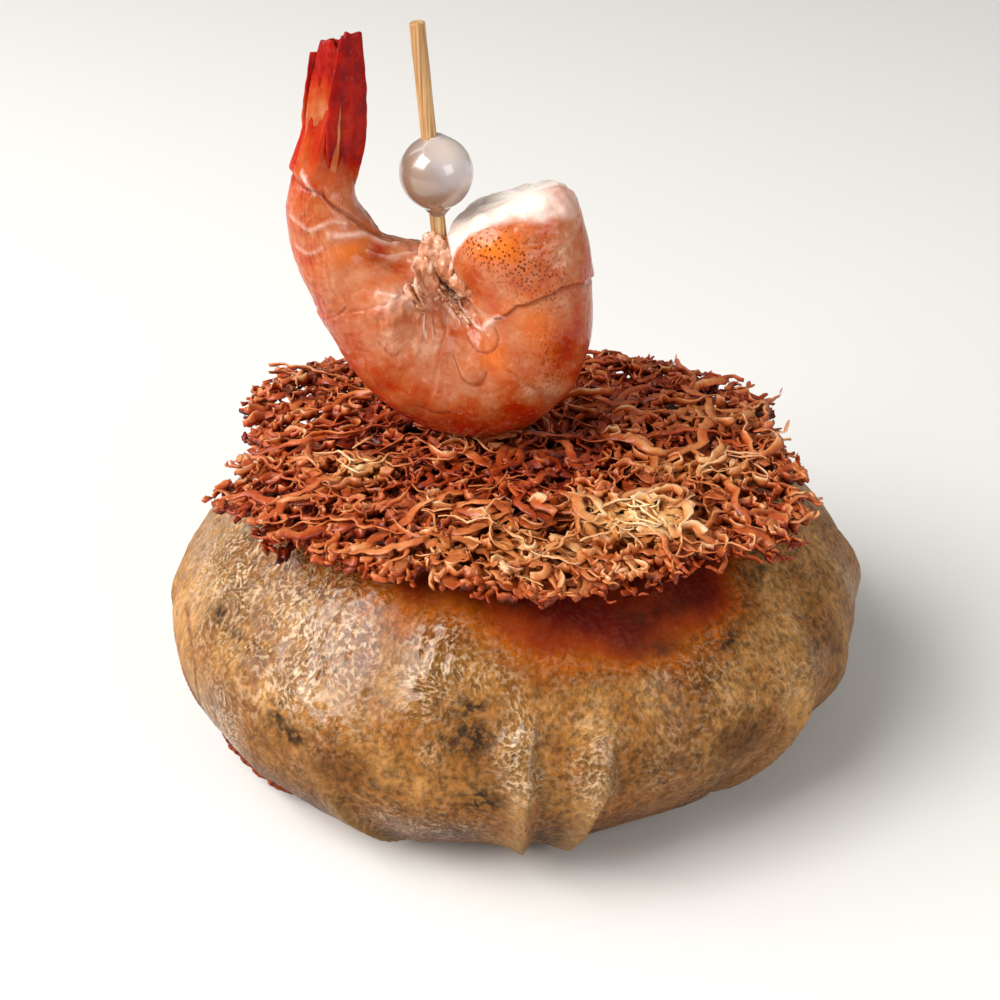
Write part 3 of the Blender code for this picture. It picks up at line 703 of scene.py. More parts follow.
def rimTwigs(strands, rng):  # blunt forked twigs that stick out of the edge
    kind = lace["twigs"]
    for _ in range(kind["count"]):
        turn = rng.uniform(-math.pi, math.pi)
        way = np.array([math.cos(turn), math.sin(turn)])
        start = (laceRim(*way) - rng.uniform(2.5, 4.5)) * way
        heading = turn + rng.normal(0, 0.55)
        low, fall = rng.uniform(0.4, 3.2), rng.uniform(-1.4, 0.6)
        length, wide = rng.uniform(*kind["long"]), rng.uniform(*kind["wide"])
        tone = rng.normal(0.7, 0.5)
        line, turns = freeStrand(strands, rng, start, heading, length, rng.normal(0, 0.1),
                                 lambda t: low + fall * t, wide, wide * 0.42, lambda t: t * 1.2, tone)
        for _ in range(rng.integers(1, 4)):
            at = rng.integers(len(line) // 2, len(line))
            side = rng.choice([-1, 1]) * rng.uniform(0.4, 1.1)
            level = low + fall * at / len(line)
            freeStrand(strands, rng, line[at], turns[at] + side, rng.uniform(1.2, 2.8), rng.normal(0, 0.1),
                       lambda t: level + 0.4 * t, wide * 0.75, wide * 0.3, lambda t: t * 0.9, tone + 0.2)


def goldThreads(strands, rng):  # fine stiff threads that catch the light
    kind = lace["threads"]
    for number in range(kind["count"]):
        x, y, spreadX, spreadY, _ = lace["golden"][number % 5]  # round the first five golden places
        start = np.array([x + rng.normal(0, spreadX * 0.5), y + rng.normal(0, spreadY * 0.6)])
        if np.hypot(*start) > laceRim(*start) - 4:
            continue
        low, rise = rng.uniform(2.6, 4.4), rng.uniform(-0.8, 0.8)
        heading = rng.choice([0.6, 2.6, -0.5]) + rng.normal(0, 0.3)
        freeStrand(strands, rng, start, heading, rng.uniform(*kind["long"]), rng.normal(0, 0.02),
                   lambda t: low + rise * t, kind["wide"], kind["thin"], lambda t: 0 * t, 1.6)


def laceMaterial():
    # deep-fried lace batter: brittle, oily, a little translucent and caramel brown, with a painted highlight
    # at the crests and painted shade in the gaps
    material, tree = newMaterial("deep-fried lace batter")
    place = addNode(tree, "TexCoord", out="Object")
    tone, golden, burnt = [addNode(tree, "Attribute", out="Fac", attribute_name=name)
                           for name in ("tone", "golden", "burnt")]
    # browning that changes over about 3 mm, and blisters 0.6 mm across
    patches, blisters = [
        addNode(tree, "TexNoise", {"Vector": place, "Scale": 1 / (size * mm), "Detail": detail,
                                   "Roughness": 0.6})
        for size, detail in ((3, 4.0), (0.6, 3.0))]
    shift = addNode(tree, "Math", {0: patches, 1: 0.5}, operation="SUBTRACT")
    level = addNode(tree, "Math", {0: shift, 1: 0.7, 2: tone}, operation="MULTIPLY_ADD")
    colour, gold, black = [
        addNode(tree, "ValToRGB", {"Fac": by}, stops=stops)
        for by, stops in (
            (level, [(0.05, "#2c0501"), (0.24, "#6a1705"), (0.44, "#93310b"), (0.62, "#b24f22"),
                     (0.8, "#cb773f"), (1.0, "#e8ad80")]),
            (level, [(0.1, "#92360a"), (0.36, "#c97528"), (0.62, "#e0a25a"), (1.0, "#f5d6a4")]),
            (patches, [(0.42, "#120807"), (0.6, "#6b3226")]))]
    for share, over in ((golden, gold), (burnt, black)):
        colour = addNode(tree, "Mix", {0: share, 6: colour, 7: over}, 2, data_type="RGBA")
    bump = addNode(tree, "Bump", {"Height": blisters, "Strength": 0.6, "Distance": 0.25 * mm})
    shader = addNode(tree, "BsdfPrincipled", {
        "Base Color": colour, "Roughness": 0.36, "Normal": bump, "Specular IOR Level": 0.2,
        "Subsurface Weight": 0.15, "Subsurface Radius": (1.6 * mm, 0.6 * mm, 0.2 * mm),
        "Subsurface Scale": 1.0, "Coat Weight": 0.3, "Coat Roughness": 0.18})
    addNode(tree, "OutputMaterial", {"Surface": shader})
    return material


def finishStrands(name, strands, material):
    points, tones = np.concatenate(strands.points), np.concatenate(strands.tones)
    x, y = points[:, 0], points[:, 1]
    lift = points[:, 2] - laceUnder(x, y)
    points = roughened(roughened(points, 0.32, 1.4, 60), 0.13, 0.6, 63)
    golden = spots(x, y, lace["golden"], around=False)
    burnt = spots(x, y, lace["burnt"], around=False) * smoothStep(smoothNoise(points, 5, 9), -0.2, 0.5)
    foot = np.hypot((x + 5) / 17, (y - prawn["y"]) / 14)
    wet = bell(foot - 0.85, 0.28)
    # the twigs of the front edge are paler
    pale = smoothStep(np.hypot(x, y) - laceRim(x, y), -4.5, -1.0) * smoothStep(y - 0.4 * x, 0, -14)
    pale = pale * smoothStep(x, -30, -12)
    # painted shade: strands lower down are darker, as in the gaps under the upper ones; tones carry each
    # strand's painted top highlight
    tone = 0.03 + 0.08 * smoothStep(-x, 15, 30) + 0.13 * lift + 0.13 * tones
    tone = tone - 0.12 * wet + 0.25 * golden + 0.2 * pale
    paints = {"tone": np.clip(tone, 0, 1.1), "golden": np.clip(golden * (1 - 0.4 * wet), 0, 1),
              "burnt": np.clip(0.9 * burnt + 0.1 * wet, 0, 1)}
    piece = makePiece(name, points, strands.faces, material, "crisp", paints)
    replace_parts(piece, "lace_crisp")
    print(name, len(piece.data.polygons), "faces")


def makeLace():
    material = laceMaterial()
    rng = np.random.default_rng(lace["seed"])
    for number, values in enumerate(lace["nets"]):
        net = Strands()
        bubbleNet(net, rng, *values)
        finishStrands(f"bubbleNet{number + 1}", net, material)
    ribbons = Strands()
    for layStrands in (flowingRibbons, curledRibbons, rimTwigs, goldThreads):
        layStrands(ribbons, rng)
    finishStrands("ribbonsAndTwigs", ribbons, material)


# Prawn: peeled and fried, held upright in a curl, with its tail fan on

prawn = {
    # inner edge x and z, outer edge x and z, half width, from the tail's tip to the cut end
    "stations": [
        (-19.2, 104.0, -22.0, 104.2, 1.1), (-18.2, 98.4, -24.8, 98.8, 1.9), (-18.5, 92.8, -26.4, 93.2, 2.6),
        (-20.3, 86.6, -28.4, 86.8, 3.3), (-20.0, 82.2, -29.6, 81.4, 4.7), (-17.2, 77.2, -28.9, 74.2, 5.9),
        (-13.9, 75.9, -26.9, 68.4, 7.0), (-10.8, 74.9, -24.6, 63.3, 8.0), (-9.5, 72.5, -21.2, 56.8, 8.6),
        (-8.6, 70.2, -15.8, 51.2, 9.0), (-7.6, 68.7, -9.0, 47.8, 9.2), (-6.2, 68.1, -2.9, 47.0, 9.3),
        (-5.2, 68.6, 3.6, 49.2, 9.3), (-4.9, 69.8, 9.2, 54.8, 9.2), (-5.3, 71.4, 11.5, 61.6, 9.0),
        (-6.3, 73.4, 11.8, 68.6, 8.7), (-7.2, 75.8, 11.2, 74.8, 8.3), (-7.4, 77.8, 10.4, 79.2, 7.6),
        (-6.2, 79.6, 9.4, 82.2, 6.2), (-2.5, 81.5, 7.6, 84.2, 3.4)
    ],
    "steps": 23,
    "around": 212,
    "y": -2.0,  # mm, the plane that the prawn and the pick stand in
    "footHalf": 9.2,  # half width of its foot in the crisp
    # places on it are a station (0 the tail's tip, 19 the cut end) and degrees round it
    # (0 the back, -90 the side that faces front, 180 the belly)
    # edges of the segments: which side stands proud, by how much, and where they run as (degrees, station)
    "lips": {
        "shell": (-1, 0.45, [(-180, 5.0), (-139, 4.12), (-98, 3.38), (-50, 3.1), (0, 3.0), (60, 3.1),
                             (139, 4.2)]),
        "shoulder": (1, 0.22, [(-180, 7.9), (-100, 6.9), (-60, 6.4), (0, 6.2), (60, 6.4), (110, 7.0)]),
        "middle": (1, 0.12, [(-180, 9.9), (-112, 9.6), (-64, 9.5), (0, 9.2), (60, 9.4), (120, 9.8)]),
        "foot": (1, 0.14, [(-180, 12.4), (-98, 12.4), (-56, 12.8), (0, 12.5), (56, 12.8), (120, 12.4)]),
        "arm": (1, 0.45, [(-180, 13.3), (-124, 13.62), (-101, 14.75), (-60, 15.5), (-22, 15.4), (22, 15.4),
                          (60, 15.5), (101, 14.75), (130, 13.6)]),
        "cut": (-1, 0.06, [(-180, 15.2), (-160, 15.6), (-146, 16.6), (-137, 17.6), (-109, 18.1), (-90, 18.1),
                           (-71, 18.0), (-50, 17.7), (-22, 17.4), (20, 17.3), (90, 17.8), (140, 17.0)]),
    },
    # scars and thin creases: half width, depth in mm, and points as (station, degrees)
    "creases": [
        (0.20, 0.30, [(3.38, -98), (3.8, -118), (4.12, -139), (4.6, -150)]),
        (0.15, 0.22, [(11.1, -133), (11.5, -122), (12.2, -116), (12.8, -117), (13.1, -124)]),
        (0.15, 0.22, [(10.2, -117), (10.6, -101), (11.2, -97), (11.6, -104)]),
        (0.14, 0.20, [(9.2, -60), (9.7, -64), (10.1, -71)]),
        (0.14, 0.20, [(6.4, -42), (6.38, -60), (6.3, -71)]),
        (0.12, 0.12, [(7.6, -80), (8.1, -84), (8.2, -92)]),
    ],
    # pale folds of wet membrane, white along their crests as a painted highlight: half width, height in mm,
    # paleness, and points as (station, degrees)
    "folds": [
        (0.28, 0.40, 0.8, [(9.88, -184), (10.62, -165), (11.25, -154), (11.62, -146)]),
        (0.26, 0.36, 0.7, [(9.5, -165), (10.25, -161), (10.75, -154), (11.3, -143)]),
        (0.24, 0.32, 0.6, [(9.38, -158), (10.0, -154), (10.6, -146)]),
        (0.36, 0.40, 0.9, [(11.62, -146), (12.3, -134), (12.88, -131), (13.62, -124), (14.0, -116)]),
        (0.30, 0.40, 0.6, [(6.5, -106), (6.88, -112), (7.25, -120), (7.75, -124), (8.25, -135)]),
        (0.30, 0.40, 0.5, [(6.62, -158), (6.75, -146), (7.5, -139), (8.25, -139)]),
        (0.24, 0.30, 0.6, [(8.3, -128), (8.5, -120), (8.75, -117)]),
        (0.20, 0.24, 0.5, [(8.7, -131), (8.9, -125), (9.05, -121)]),
        (0.45, 0.50, 0.7, [(4.38, -98), (4.5, -124), (4.75, -154), (5.75, -178)]),
        (0.30, 0.30, 0.4, [(5.0, -139), (5.88, -161), (6.88, -174)]),
        (0.30, 0.25, 0.8, [(2.9, -52), (3.1, -68), (3.38, -84)]),
        (0.26, 0.20, 0.5, [(4.0, -30), (4.12, -56), (4.25, -71), (4.12, -105), (4.25, -128)]),
        (0.22, 0.16, 0.4, [(4.6, -36), (4.7, -60), (4.6, -84)]),
    ],
    # deeper red or brown places, and painted shade in the belly's hollows: station, degrees, spread in
    # stations, spread in degrees, strength
    "deep": [
        (13.9, -62, 0.55, 18, 0.30), (12.0, -60, 0.5, 22, 0.24), (10.6, -55, 0.9, 20, 0.26),
        (9.0, -25, 1.5, 25, 0.2), (5.2, -150, 0.4, 22, 0.3), (6.25, -147, 0.45, 12, 0.4),
        (11.9, -108, 0.2, 14, 0.2), (16.9, -8, 0.5, 20, 0.12), (15.8, -16, 0.35, 22, 0.15),
        (8.0, -60, 0.7, 20, 0.12), (7.6, -132, 0.3, 8, 0.2)
    ],
    # hollows and swellings: station, degrees, spread in stations, spread in degrees, mm
    "dents": [
        (6.1, -150, 0.8, 16, -1.6), (7.4, -150, 0.5, 12, -1.0), (9.2, -150, 1.0, 14, -0.8),
        (4.5, -125, 0.35, 30, 0.5), (12.2, -126, 0.7, 9, 0.35), (10.9, -106, 0.5, 8, 0.3),
        (16.5, -118, 1.0, 22, 0.5), (7.2, -100, 0.7, 12, 0.5), (17.0, -75, 0.25, 12, -0.4),
        (14.2, -90, 0.8, 30, 0.3), (1.9, -75, 0.9, 12, 0.35), (15.2, -160, 1.2, 28, 1.3),
        (13.2, -165, 0.8, 24, 1.2)
    ],
    # wet wrinkled places, frilly belly flesh and freckled shell: station, degrees, spreads, strength
    "wrinkled": [
        (4.4, -62, 0.8, 26, 1.0), (5.6, -60, 0.9, 20, 1.0), (7.3, -98, 0.7, 22, 0.9),
        (7.2, -75, 0.5, 20, 0.5), (16.6, -50, 0.6, 14, 0.8), (1.9, -78, 0.6, 14, 0.6),
        (3.3, -60, 0.4, 14, 0.7), (8.6, -112, 0.8, 14, 0.8), (13.6, -35, 1.0, 12, 0.5)
    ],
    "frilly": [
        (8.5, -155, 1.6, 26, 1.0), (11.5, -165, 1.6, 26, 1.0), (7.2, -112, 0.5, 16, 0.7),
        (13.1, -138, 0.5, 12, 0.8), (10, 178, 4.0, 40, 0.9)
    ],
    "freckled": [
        (16.9, -118, 1.1, 32, 1.2), (16.2, -90, 1.2, 30, 1.0), (15.6, -70, 0.9, 24, 0.8),
        (13.4, -66, 1.2, 30, 0.6), (11.4, -70, 0.8, 20, 0.3), (16.4, 100, 1.4, 50, 0.8),
        (13.2, 80, 1.6, 40, 0.5)
    ],
    "orange": [
        (17.0, -112, 0.8, 24, 1.0), (14.2, -84, 0.9, 22, 0.55), (12.2, -108, 0.6, 14, 0.55),
        (4.8, -120, 0.25, 34, 0.8), (16.6, 100, 1.4, 50, 0.8)
    ],
    "pale": [
        (7.6, -92, 0.8, 18, 0.6), (8.8, -108, 1.0, 12, 0.7), (12.5, -70, 0.22, 30, 0.8),
        (14.9, -75, 0.35, 26, 0.8), (17.0, -30, 0.8, 26, 0.7), (10.6, -108, 0.5, 10, 0.35),
        (13.0, -128, 0.5, 12, 0.5), (5.4, -100, 0.5, 26, 0.5), (15.0, -20, 0.5, 22, 0.7),
        (16.4, -46, 0.7, 16, 0.85), (12.8, -54, 0.35, 22, 0.95)
    ],
    # tail fan: foot x and z, tip x and z, y aside, half width, turn in degrees
    "blades": [
        (-25.2, 82.0, -22.4, 104.6, -2.2, 2.7, -28), (-22.0, 83.0, -19.4, 105.6, -2.6, 2.8, 22),
        (-25.2, 82.0, -23.8, 102.6, 2.2, 2.7, 28), (-22.0, 83.0, -20.2, 103.2, 2.6, 2.8, -22)
    ],
    "bladeThick": 0.7,
    "bladeOrange": (0.56, 0.1),  # how orange every first and every second blade is
    # torn shreds: three places that a run of them follows, as (station, degrees), and how many
    "frills": [
        ((6.6, -150), (7.2, -130), (8.2, -138), 7), ((8.2, -138), (9.0, -160), (9.6, -170), 8),
        ((9.6, -160), (10.6, -160), (11.6, -146), 8), ((8.4, -160), (9.5, -170), (11.0, -172), 12)
    ],
    "frillSeed": 5,
    # lumps of crumpled film round the foot of the pick: middle, half sizes, lean
    "lumps": [
        (-9.9, -3.5, 75.0, 1.9, 1.2, 2.8, -0.1), (-11.4, -4.2, 73.6, 1.5, 1.2, 1.6, 0.2),
        (-7.7, -4.4, 73.2, 1.6, 1.3, 2.8, -0.45), (-5.9, -5.6, 71.0, 1.1, 1.0, 1.7, -0.7),
        (-7.3, -2.6, 75.2, 1.2, 1.4, 2.2, 0.1)
    ],
}


def creaseDepth(station, degrees, points, half):  # how near each point is to a crease, from 0 to 1
    flat = np.array([5.5, 0.15])  # mm along a station and along a degree
    off = offLine(np.stack([station, degrees], -1) * flat, np.array(points) * flat, 6)
    return bell(off, half)


def marked(name, station, degrees):  # how much each point lies in the places of that name
    rows = [(turn, at, wide, tall, strength) for at, turn, tall, wide, strength in prawn[name]]
    return spots(degrees, station, rows)


def prawnShape():  # the body's grid of points with its stations and degrees
    rows = smoothThrough(prawn["stations"], prawn["steps"])
    degrees = np.linspace(-180, 180, prawn["around"], endpoint=False)
    turn = np.radians(degrees)
    middle, outward = (rows[:, :2] + rows[:, 2:4]) / 2, (rows[:, 2:4] - rows[:, :2]) / 2
    grid = np.stack([middle[:, :1] + outward[:, :1] * np.cos(turn),
                     prawn["y"] + rows[:, 4:] * np.sin(turn),
                     middle[:, 1:] + outward[:, 1:] * np.cos(turn)], -1)
    station = np.arange(len(rows))[:, None] / prawn["steps"] + 0 * turn
    return grid, station, degrees[None] + 0 * station


def prawnMaterial():
    # cooked prawn: milky wet flesh that light enters, under an orange-red skin with fine pigment dots
    material, tree = newMaterial("cooked prawn flesh and shell")
    place = addNode(tree, "TexCoord", out="Object")
    tone, flesh, orange, cream, freckled, line, wrinkled = [
        addNode(tree, "Attribute", out="Fac", attribute_name=name)
        for name in ("tone", "flesh", "orange", "cream", "freckled", "line", "wrinkled")]
    # clouds of colour over about 3.5 mm, and the fibres of the flesh about 1 mm apart
    clouds, fibres = [
        addNode(tree, "TexNoise", {"Vector": place, "Scale": 1 / (size * mm), "Detail": 4.0,
                                   "Roughness": 0.6})
        for size in (3.5, 0.9)]
    shift = addNode(tree, "Math", {0: clouds, 1: 0.5}, operation="SUBTRACT")
    level = addNode(tree, "Math", {0: shift, 1: 0.9, 2: tone}, operation="MULTIPLY_ADD")
    # pigment dots are 0.1 to 0.2 mm across, drawn 0.3 mm so that they show
    dots = addNode(tree, "TexVoronoi", {"Vector": place, "Scale": 1 / (0.52 * mm)}, out="Distance")
    colour, dots, milky, wet = [
        addNode(tree, "ValToRGB", {"Fac": by}, stops=stops)
        for by, stops in (
            (level, [(0.0, "#d6a080"), (0.2, "#bf7853"), (0.42, "#b35627"), (0.62, "#ac3202"),
                     (0.8, "#a01000"), (1.0, "#7a0000")]),
            (dots, [(0.3, 1.0), (0.44, 0.0)]), (fibres, [(0.55, 0.0), (0.75, 0.25)]),
            (flesh, [(0.0, 0.12), (1.0, 0.45)]))]
    uneven = addNode(tree, "Math", {0: wrinkled, 1: 3.0, 2: 0.7}, operation="MULTIPLY_ADD")
    milky, dots, height = [addNode(tree, "Math", {0: first, 1: second}, operation="MULTIPLY")
                           for first, second in ((milky, flesh), (dots, freckled), (fibres, uneven))]
    # line darkens the segments' edges and paints shade into the creases; cream also carries the folds'
    # painted highlight
    for share, over in ((milky, "#e9b79c"), (orange, "#e3741a"), (cream, "#fff0e2"), (dots, "#6e2405"),
                        (line, "#852708")):
        colour = addNode(tree, "Mix", {0: share, 6: colour, 7: over}, 2, data_type="RGBA")
    bump = addNode(tree, "Bump", {"Height": height, "Strength": 0.5, "Distance": 0.3 * mm})
    shader = addNode(tree, "BsdfPrincipled", {
        "Base Color": colour, "Roughness": 0.27, "Normal": bump, "Specular IOR Level": 0.12,
        "Subsurface Weight": 0.3, "Subsurface Radius": (3.0 * mm, 1.2 * mm, 0.6 * mm),
        "Subsurface Scale": 1.0, "Coat Weight": wet, "Coat Roughness": 0.08})
    addNode(tree, "OutputMaterial", {"Surface": shader})
    return material


def prawnRelief(grid, station, degrees, wrinkled, frilly):
    # mm that the surface stands off, dark lines and painted crease shade, pale membrane and its painted
    # highlight, and the distance past the cut's edge
    relief, line, membrane = np.zeros((3, *station.shape))
    waver, uneven = 0.07 * smoothNoise(grid, 2.5, 30), 0.75 + 0.5 * smoothNoise(grid, 1.5, 29)
    edges = {}
    for name, (side, proud, points) in prawn["lips"].items():
        edges[name] = station - allRound(degrees, points) + waver
        ahead = edges[name] * side
        groove = bell(ahead + 0.05, 0.06)
        relief += proud * np.exp(-np.clip(ahead, 0, 9) / 0.6) * smoothStep(ahead, -0.04, 0.05)
        relief -= 0.3 * proud * groove
        # a dark line in the groove at each lip: the segments' dark joint, with painted shade in the groove
        line = np.maximum(line, (proud - 0.06) * 1.6 * groove)
    for half, depth, points in prawn["creases"]:
        near = creaseDepth(station, degrees, points, half)
        relief -= depth * near
        # painted shade: each crease is darkened along its groove
        line = np.maximum(line, 0.75 * near)
    for half, high, paleness, points in prawn["folds"]:
        near = creaseDepth(station, degrees, points, half) * uneven
        relief += high * near
        # paleness: the pale membrane, and a painted highlight along the fold
        membrane = np.maximum(membrane, paleness * near)
    for at, turn, tall, wide, size in prawn["dents"]:
        relief += size * spots(degrees, station, [(turn, at, wide, tall, 1.0)])
    stretched = np.stack([station * 2.2, degrees * 0.16, 0 * station], -1)
    folds = ridged(stretched, 0.9, 31)
    relief += 0.3 * smoothNoise(grid, 4.5, 32) + (0.06 + 0.18 * wrinkled) * folds
    relief += (0.05 + 0.10 * wrinkled) * smoothNoise(grid, 1.2, 39)
    relief += 0.7 * frilly * ridged(grid, 2.0, 33)
    relief += 0.35 * smoothStep(station, 17.8, 18.6) * smoothNoise(grid, 2.2, 34)
    relief += 0.3 * smoothStep(edges["cut"], 0.0, 0.5) * smoothNoise(grid, 1.7, 40)
    relief += 0.14 * np.cos(np.radians(degrees) * 9) * smoothStep(station, 3.4, 2.6)  # ribs of the tail
    return relief, line, membrane, edges["cut"]


def prawnTone(station, degrees, pale, deep, frilly):  # from milky at 0 to deep red at 1
    back = bell(degrees, 58)
    tail = smoothStep(station, 4.3, 0.6)
    tone = 0.36 + 0.12 * back + 0.2 * bell(station - 10.5, 3.2) * bell(degrees, 46)
    tone = tone + 0.12 * bell(station - 14.0, 1.2) * bell(degrees, 80)
    # deep also lays painted shade into the hollows of the belly
    tone = (tone + deep) * (1 - 0.65 * pale) * (1 - 0.5 * frilly) + 0.5 * tail
    return tone - 0.1 * bell(np.abs(degrees) - 50, 20) * tail * (degrees < 0)


def creamFlesh(grid, degrees, cut, frilly, membrane):  # the white flesh at the cut end and in the belly, and the painted highlight of the membrane's folds
    ragged = cut + 0.3 * smoothNoise(grid, 4, 37) + 0.12 * smoothNoise(grid, 1.5, 38)
    cream = smoothStep(ragged, -0.25, 0.45) * (0.9 + 0.35 * smoothNoise(grid, 3, 35))
    cream = cream * (1 - 0.6 * bell(angleBetween(degrees, -25), 42))
    cream = np.maximum(cream, 0.25 * frilly * smoothStep(smoothNoise(grid, 2.5, 36), -0.1, 0.6))
    return np.clip(np.maximum(cream, 0.6 * membrane), 0, 1)


def makePrawnBody(material):
    grid, station, degrees = prawnShape()
    wrinkled, frilly, pale, deep, orange, freckled = (marked(name, station, degrees) for name in (
        "wrinkled", "frilly", "pale", "deep", "orange", "freckled"))
    normals = gridNormals(grid)
    outward = np.sign((normals * (grid - grid.mean(1, keepdims=True))).sum(-1, keepdims=True))
    relief, line, membrane, cut = prawnRelief(grid, station, degrees, wrinkled, frilly)
    points = grid + normals * outward * relief[..., None]
    skin = smoothStep(cut, 0.1, -0.1)
    paints = {"tone": prawnTone(station, degrees, pale, deep, frilly), "line": line, "wrinkled": wrinkled,
              "cream": creamFlesh(grid, degrees, cut, frilly, membrane), "orange": orange * skin,
              "freckled": freckled * skin, "flesh": 1 - smoothStep(station, 3.6, 2.2)}
    closed, faces, paints = closedGrid(points, paints)
    piece = makePiece("prawnBody", closed, faces, material, "prawn", paints)
    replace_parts(piece, "prawn")
    return points


def makeTailFan(material):
    grids, tones = [], []
    t = np.linspace(0, 1, 72)[:, None]
    turn = np.linspace(0, 2 * np.pi, 36, endpoint=False)[None]
    for number, (footX, footZ, tipX, tipZ, aside, width, degrees) in enumerate(prawn["blades"]):
        wide = width * np.sin(math.pi * (0.03 + 0.84 * t)) ** 0.75
        thick = prawn["bladeThick"] * (1 - 0.55 * t)
        a, b = wide * np.cos(turn), thick * np.sin(turn)
        b = b * (1 + 0.25 * np.cos(9 * turn)) + 0.12 * (a * a / width - 0.5 * width) * np.sign(aside)
        ragged = smoothNoise(np.stack([a, 0 * a + number * 5.1, 0 * a], -1), 0.9, 50)
        up = t + 0.045 * ragged * smoothStep(t, 0.7, 1.0) - 0.10 * np.abs(a / width) ** 2 * t
        x = footX + (tipX - footX) * up
        apart = smoothStep(t, -0.05, 0.45) * (0.35 + 0.65 * np.sin(np.pi * (0.15 + 0.85 * t)))
        y = prawn["y"] + aside * apart
        z = footZ + (tipZ - footZ) * up - 2.0 * (1 - t)
        c, s = math.cos(math.radians(degrees)), math.sin(math.radians(degrees))
        grid = np.stack([x + a * c - b * s, y + a * s + b * c, z], -1)
        grids.append(roughened(grid, 0.12, 1.6, 52))
        orange = prawn["bladeOrange"][number % 2]
        shade = 0.97 - orange * smoothStep(t, 0.98, 0.6) - (0.66 - orange) * smoothStep(t, 0.36, 0.16)
        tones.append(np.concatenate([(shade + 0 * turn).ravel(), [0.6, 0.95]]))
    points, faces = joined(grids)
    zero = np.zeros(len(points))
    paints = dict.fromkeys(("line", "cream", "orange", "freckled", "flesh"), zero)
    paints.update(tone=np.concatenate(tones), wrinkled=zero + 0.4)
    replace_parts(makePiece("tailFan", points, faces, material, "prawn", paints), "prawn")


def onPrawn(grid, station, degrees):  # a point on the body from its station and degrees
    row = np.clip(station * prawn["steps"], 0, len(grid) - 1)
    column = (degrees + 180) / 360 * prawn["around"]
    r, c = np.floor(row).astype(int), np.floor(column).astype(int)
    f, g = (row - r)[..., None], (column - c)[..., None]
    r2 = np.minimum(r + 1, len(grid) - 1)
    c, c2 = c % prawn["around"], (c + 1) % prawn["around"]
    return (grid[r, c] * (1 - f) + grid[r2, c] * f) * (1 - g) + (grid[r, c2] * (1 - f) + grid[r2, c2] * f) * g


def membraneMaterial():
    # the thin skin of the belly: clear, pinkish and very wet, so that it shows mostly as white glints
    material, tree = newMaterial("wet prawn membrane")
    place = addNode(tree, "TexCoord", out="Object")
    # clouds over about 2 mm and creases 0.5 mm apart
    clouds, creases = [
        addNode(tree, "TexNoise", {"Vector": place, "Scale": 1 / (size * mm), "Detail": detail})
        for size, detail in ((1.8, 3.0), (0.5, 2.0))]
    colour = addNode(tree, "ValToRGB", {"Fac": clouds},
                     stops=[(0.35, "#b96a40"), (0.5, "#cf8c64"), (0.65, "#e6b596")])
    bump = addNode(tree, "Bump", {"Height": creases, "Strength": 0.8, "Distance": 0.3 * mm})
    shader = addNode(tree, "BsdfPrincipled", {
        "Base Color": colour, "Roughness": 0.12, "Normal": bump, "Subsurface Weight": 0.35,
        "Subsurface Radius": (0.8 * mm, 0.4 * mm, 0.2 * mm), "Subsurface Scale": 1.0,
        "Coat Weight": 0.8, "Coat Roughness": 0.05})
    addNode(tree, "OutputMaterial", {"Surface": shader})
    return material


def membraneLumps():  # crumpled film gathered round the foot of the pick
    rise = np.radians(np.linspace(-88, 88, 44))[:, None]
    turn = np.linspace(0, 2 * np.pi, 64, endpoint=False)[None]
    ball = np.stack([np.cos(rise) * np.cos(turn), np.cos(rise) * np.sin(turn), np.sin(rise) + 0 * turn], -1)
    grids = []
    for number, (x, y, z, wide, deep, tall, lean) in enumerate(prawn["lumps"]):
        grid = ball * (wide, deep, tall)
        grid[..., 0] += lean * grid[..., 2]
        drawn = grid * (1, 1, 0.4)  # the film's folds run up and down
        crumpled = sum(size * ridged(drawn, apart, seed + number)
                       for size, apart, seed in ((0.5, 1.1, 110), (0.16, 0.5, 120)))
        grids.append(grid + ball * crumpled[..., None] + (x, y, z))
    return joined(grids)


def makePrawnFrills(grid):  # torn shreds of membrane round the open belly
    strands = Strands()
    rng = np.random.default_rng(prawn["frillSeed"])
    for first, second, third, count in prawn["frills"]:
        curve = smoothThrough([first, second, third], 12)
        for number in range(count):
            start = rng.integers(0, len(curve) - 6)
            part = curve[start:start + rng.integers(6, 16)]
            wobble = np.cumsum(rng.normal(0, 0.7, len(part)))
            line = onPrawn(grid, part[:, 0] + rng.normal(0, 0.12), part[:, 1] + wobble + rng.normal(0, 3))
            line = line + rng.uniform(-0.1, 0.35) * np.array([0.2, -0.8, 0.5])
            line = roughened(line, 0.3, 2.0, 70 + number)
            size = len(line)
            strands.add(line, rng.uniform(0.25, 0.6) * (0.6 + 0.4 * rng.random(size)), np.full(size, 0.2),
                        rng.normal(0.4, 0.8) + np.cumsum(rng.normal(0, 0.12, size)), 0.0, sides=8)
    points = roughened(np.concatenate(strands.points), 0.1, 1.2, 90)
    lumps, lumpFaces = membraneLumps()
    faces = strands.faces + [[index + len(points) for index in face] for face in lumpFaces]
    points = np.concatenate([points, lumps])
    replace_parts(makePiece("bellyFrills", points, faces, membraneMaterial(), "prawn"), "prawn")


def makePrawn():
    material = prawnMaterial()
    grid = makePrawnBody(material)
    makeTailFan(material)
    makePrawnFrills(grid)


# Pick and bead: a round bamboo skewer with one imitation pearl on it

pick = {
    "top": (-11.0, 106.4),  # x and z in mm
    "atPrawn": (-9.0, 74.7),
    "tipZ": 22.0,  # of its hidden point
    "point": 6.0,
    "radius": 1.05,
    "sanded": 0.12,  # mm taken off the top's rim
    "grooves": [(-75, 9, 0.05), (-120, 8, 0.04)],  # degrees round it, spread in degrees, share of the radius
    "fibreWide": 0.42,
    "fibreLong": 24,
}


def pickMiddle(z):
    (topX, topZ), (lowX, lowZ) = pick["top"], pick["atPrawn"]
    x = lowX + (topX - lowX) * (z - lowZ) / (topZ - lowZ)
    return np.stack([x, prawn["y"] + 0 * z, z], -1)


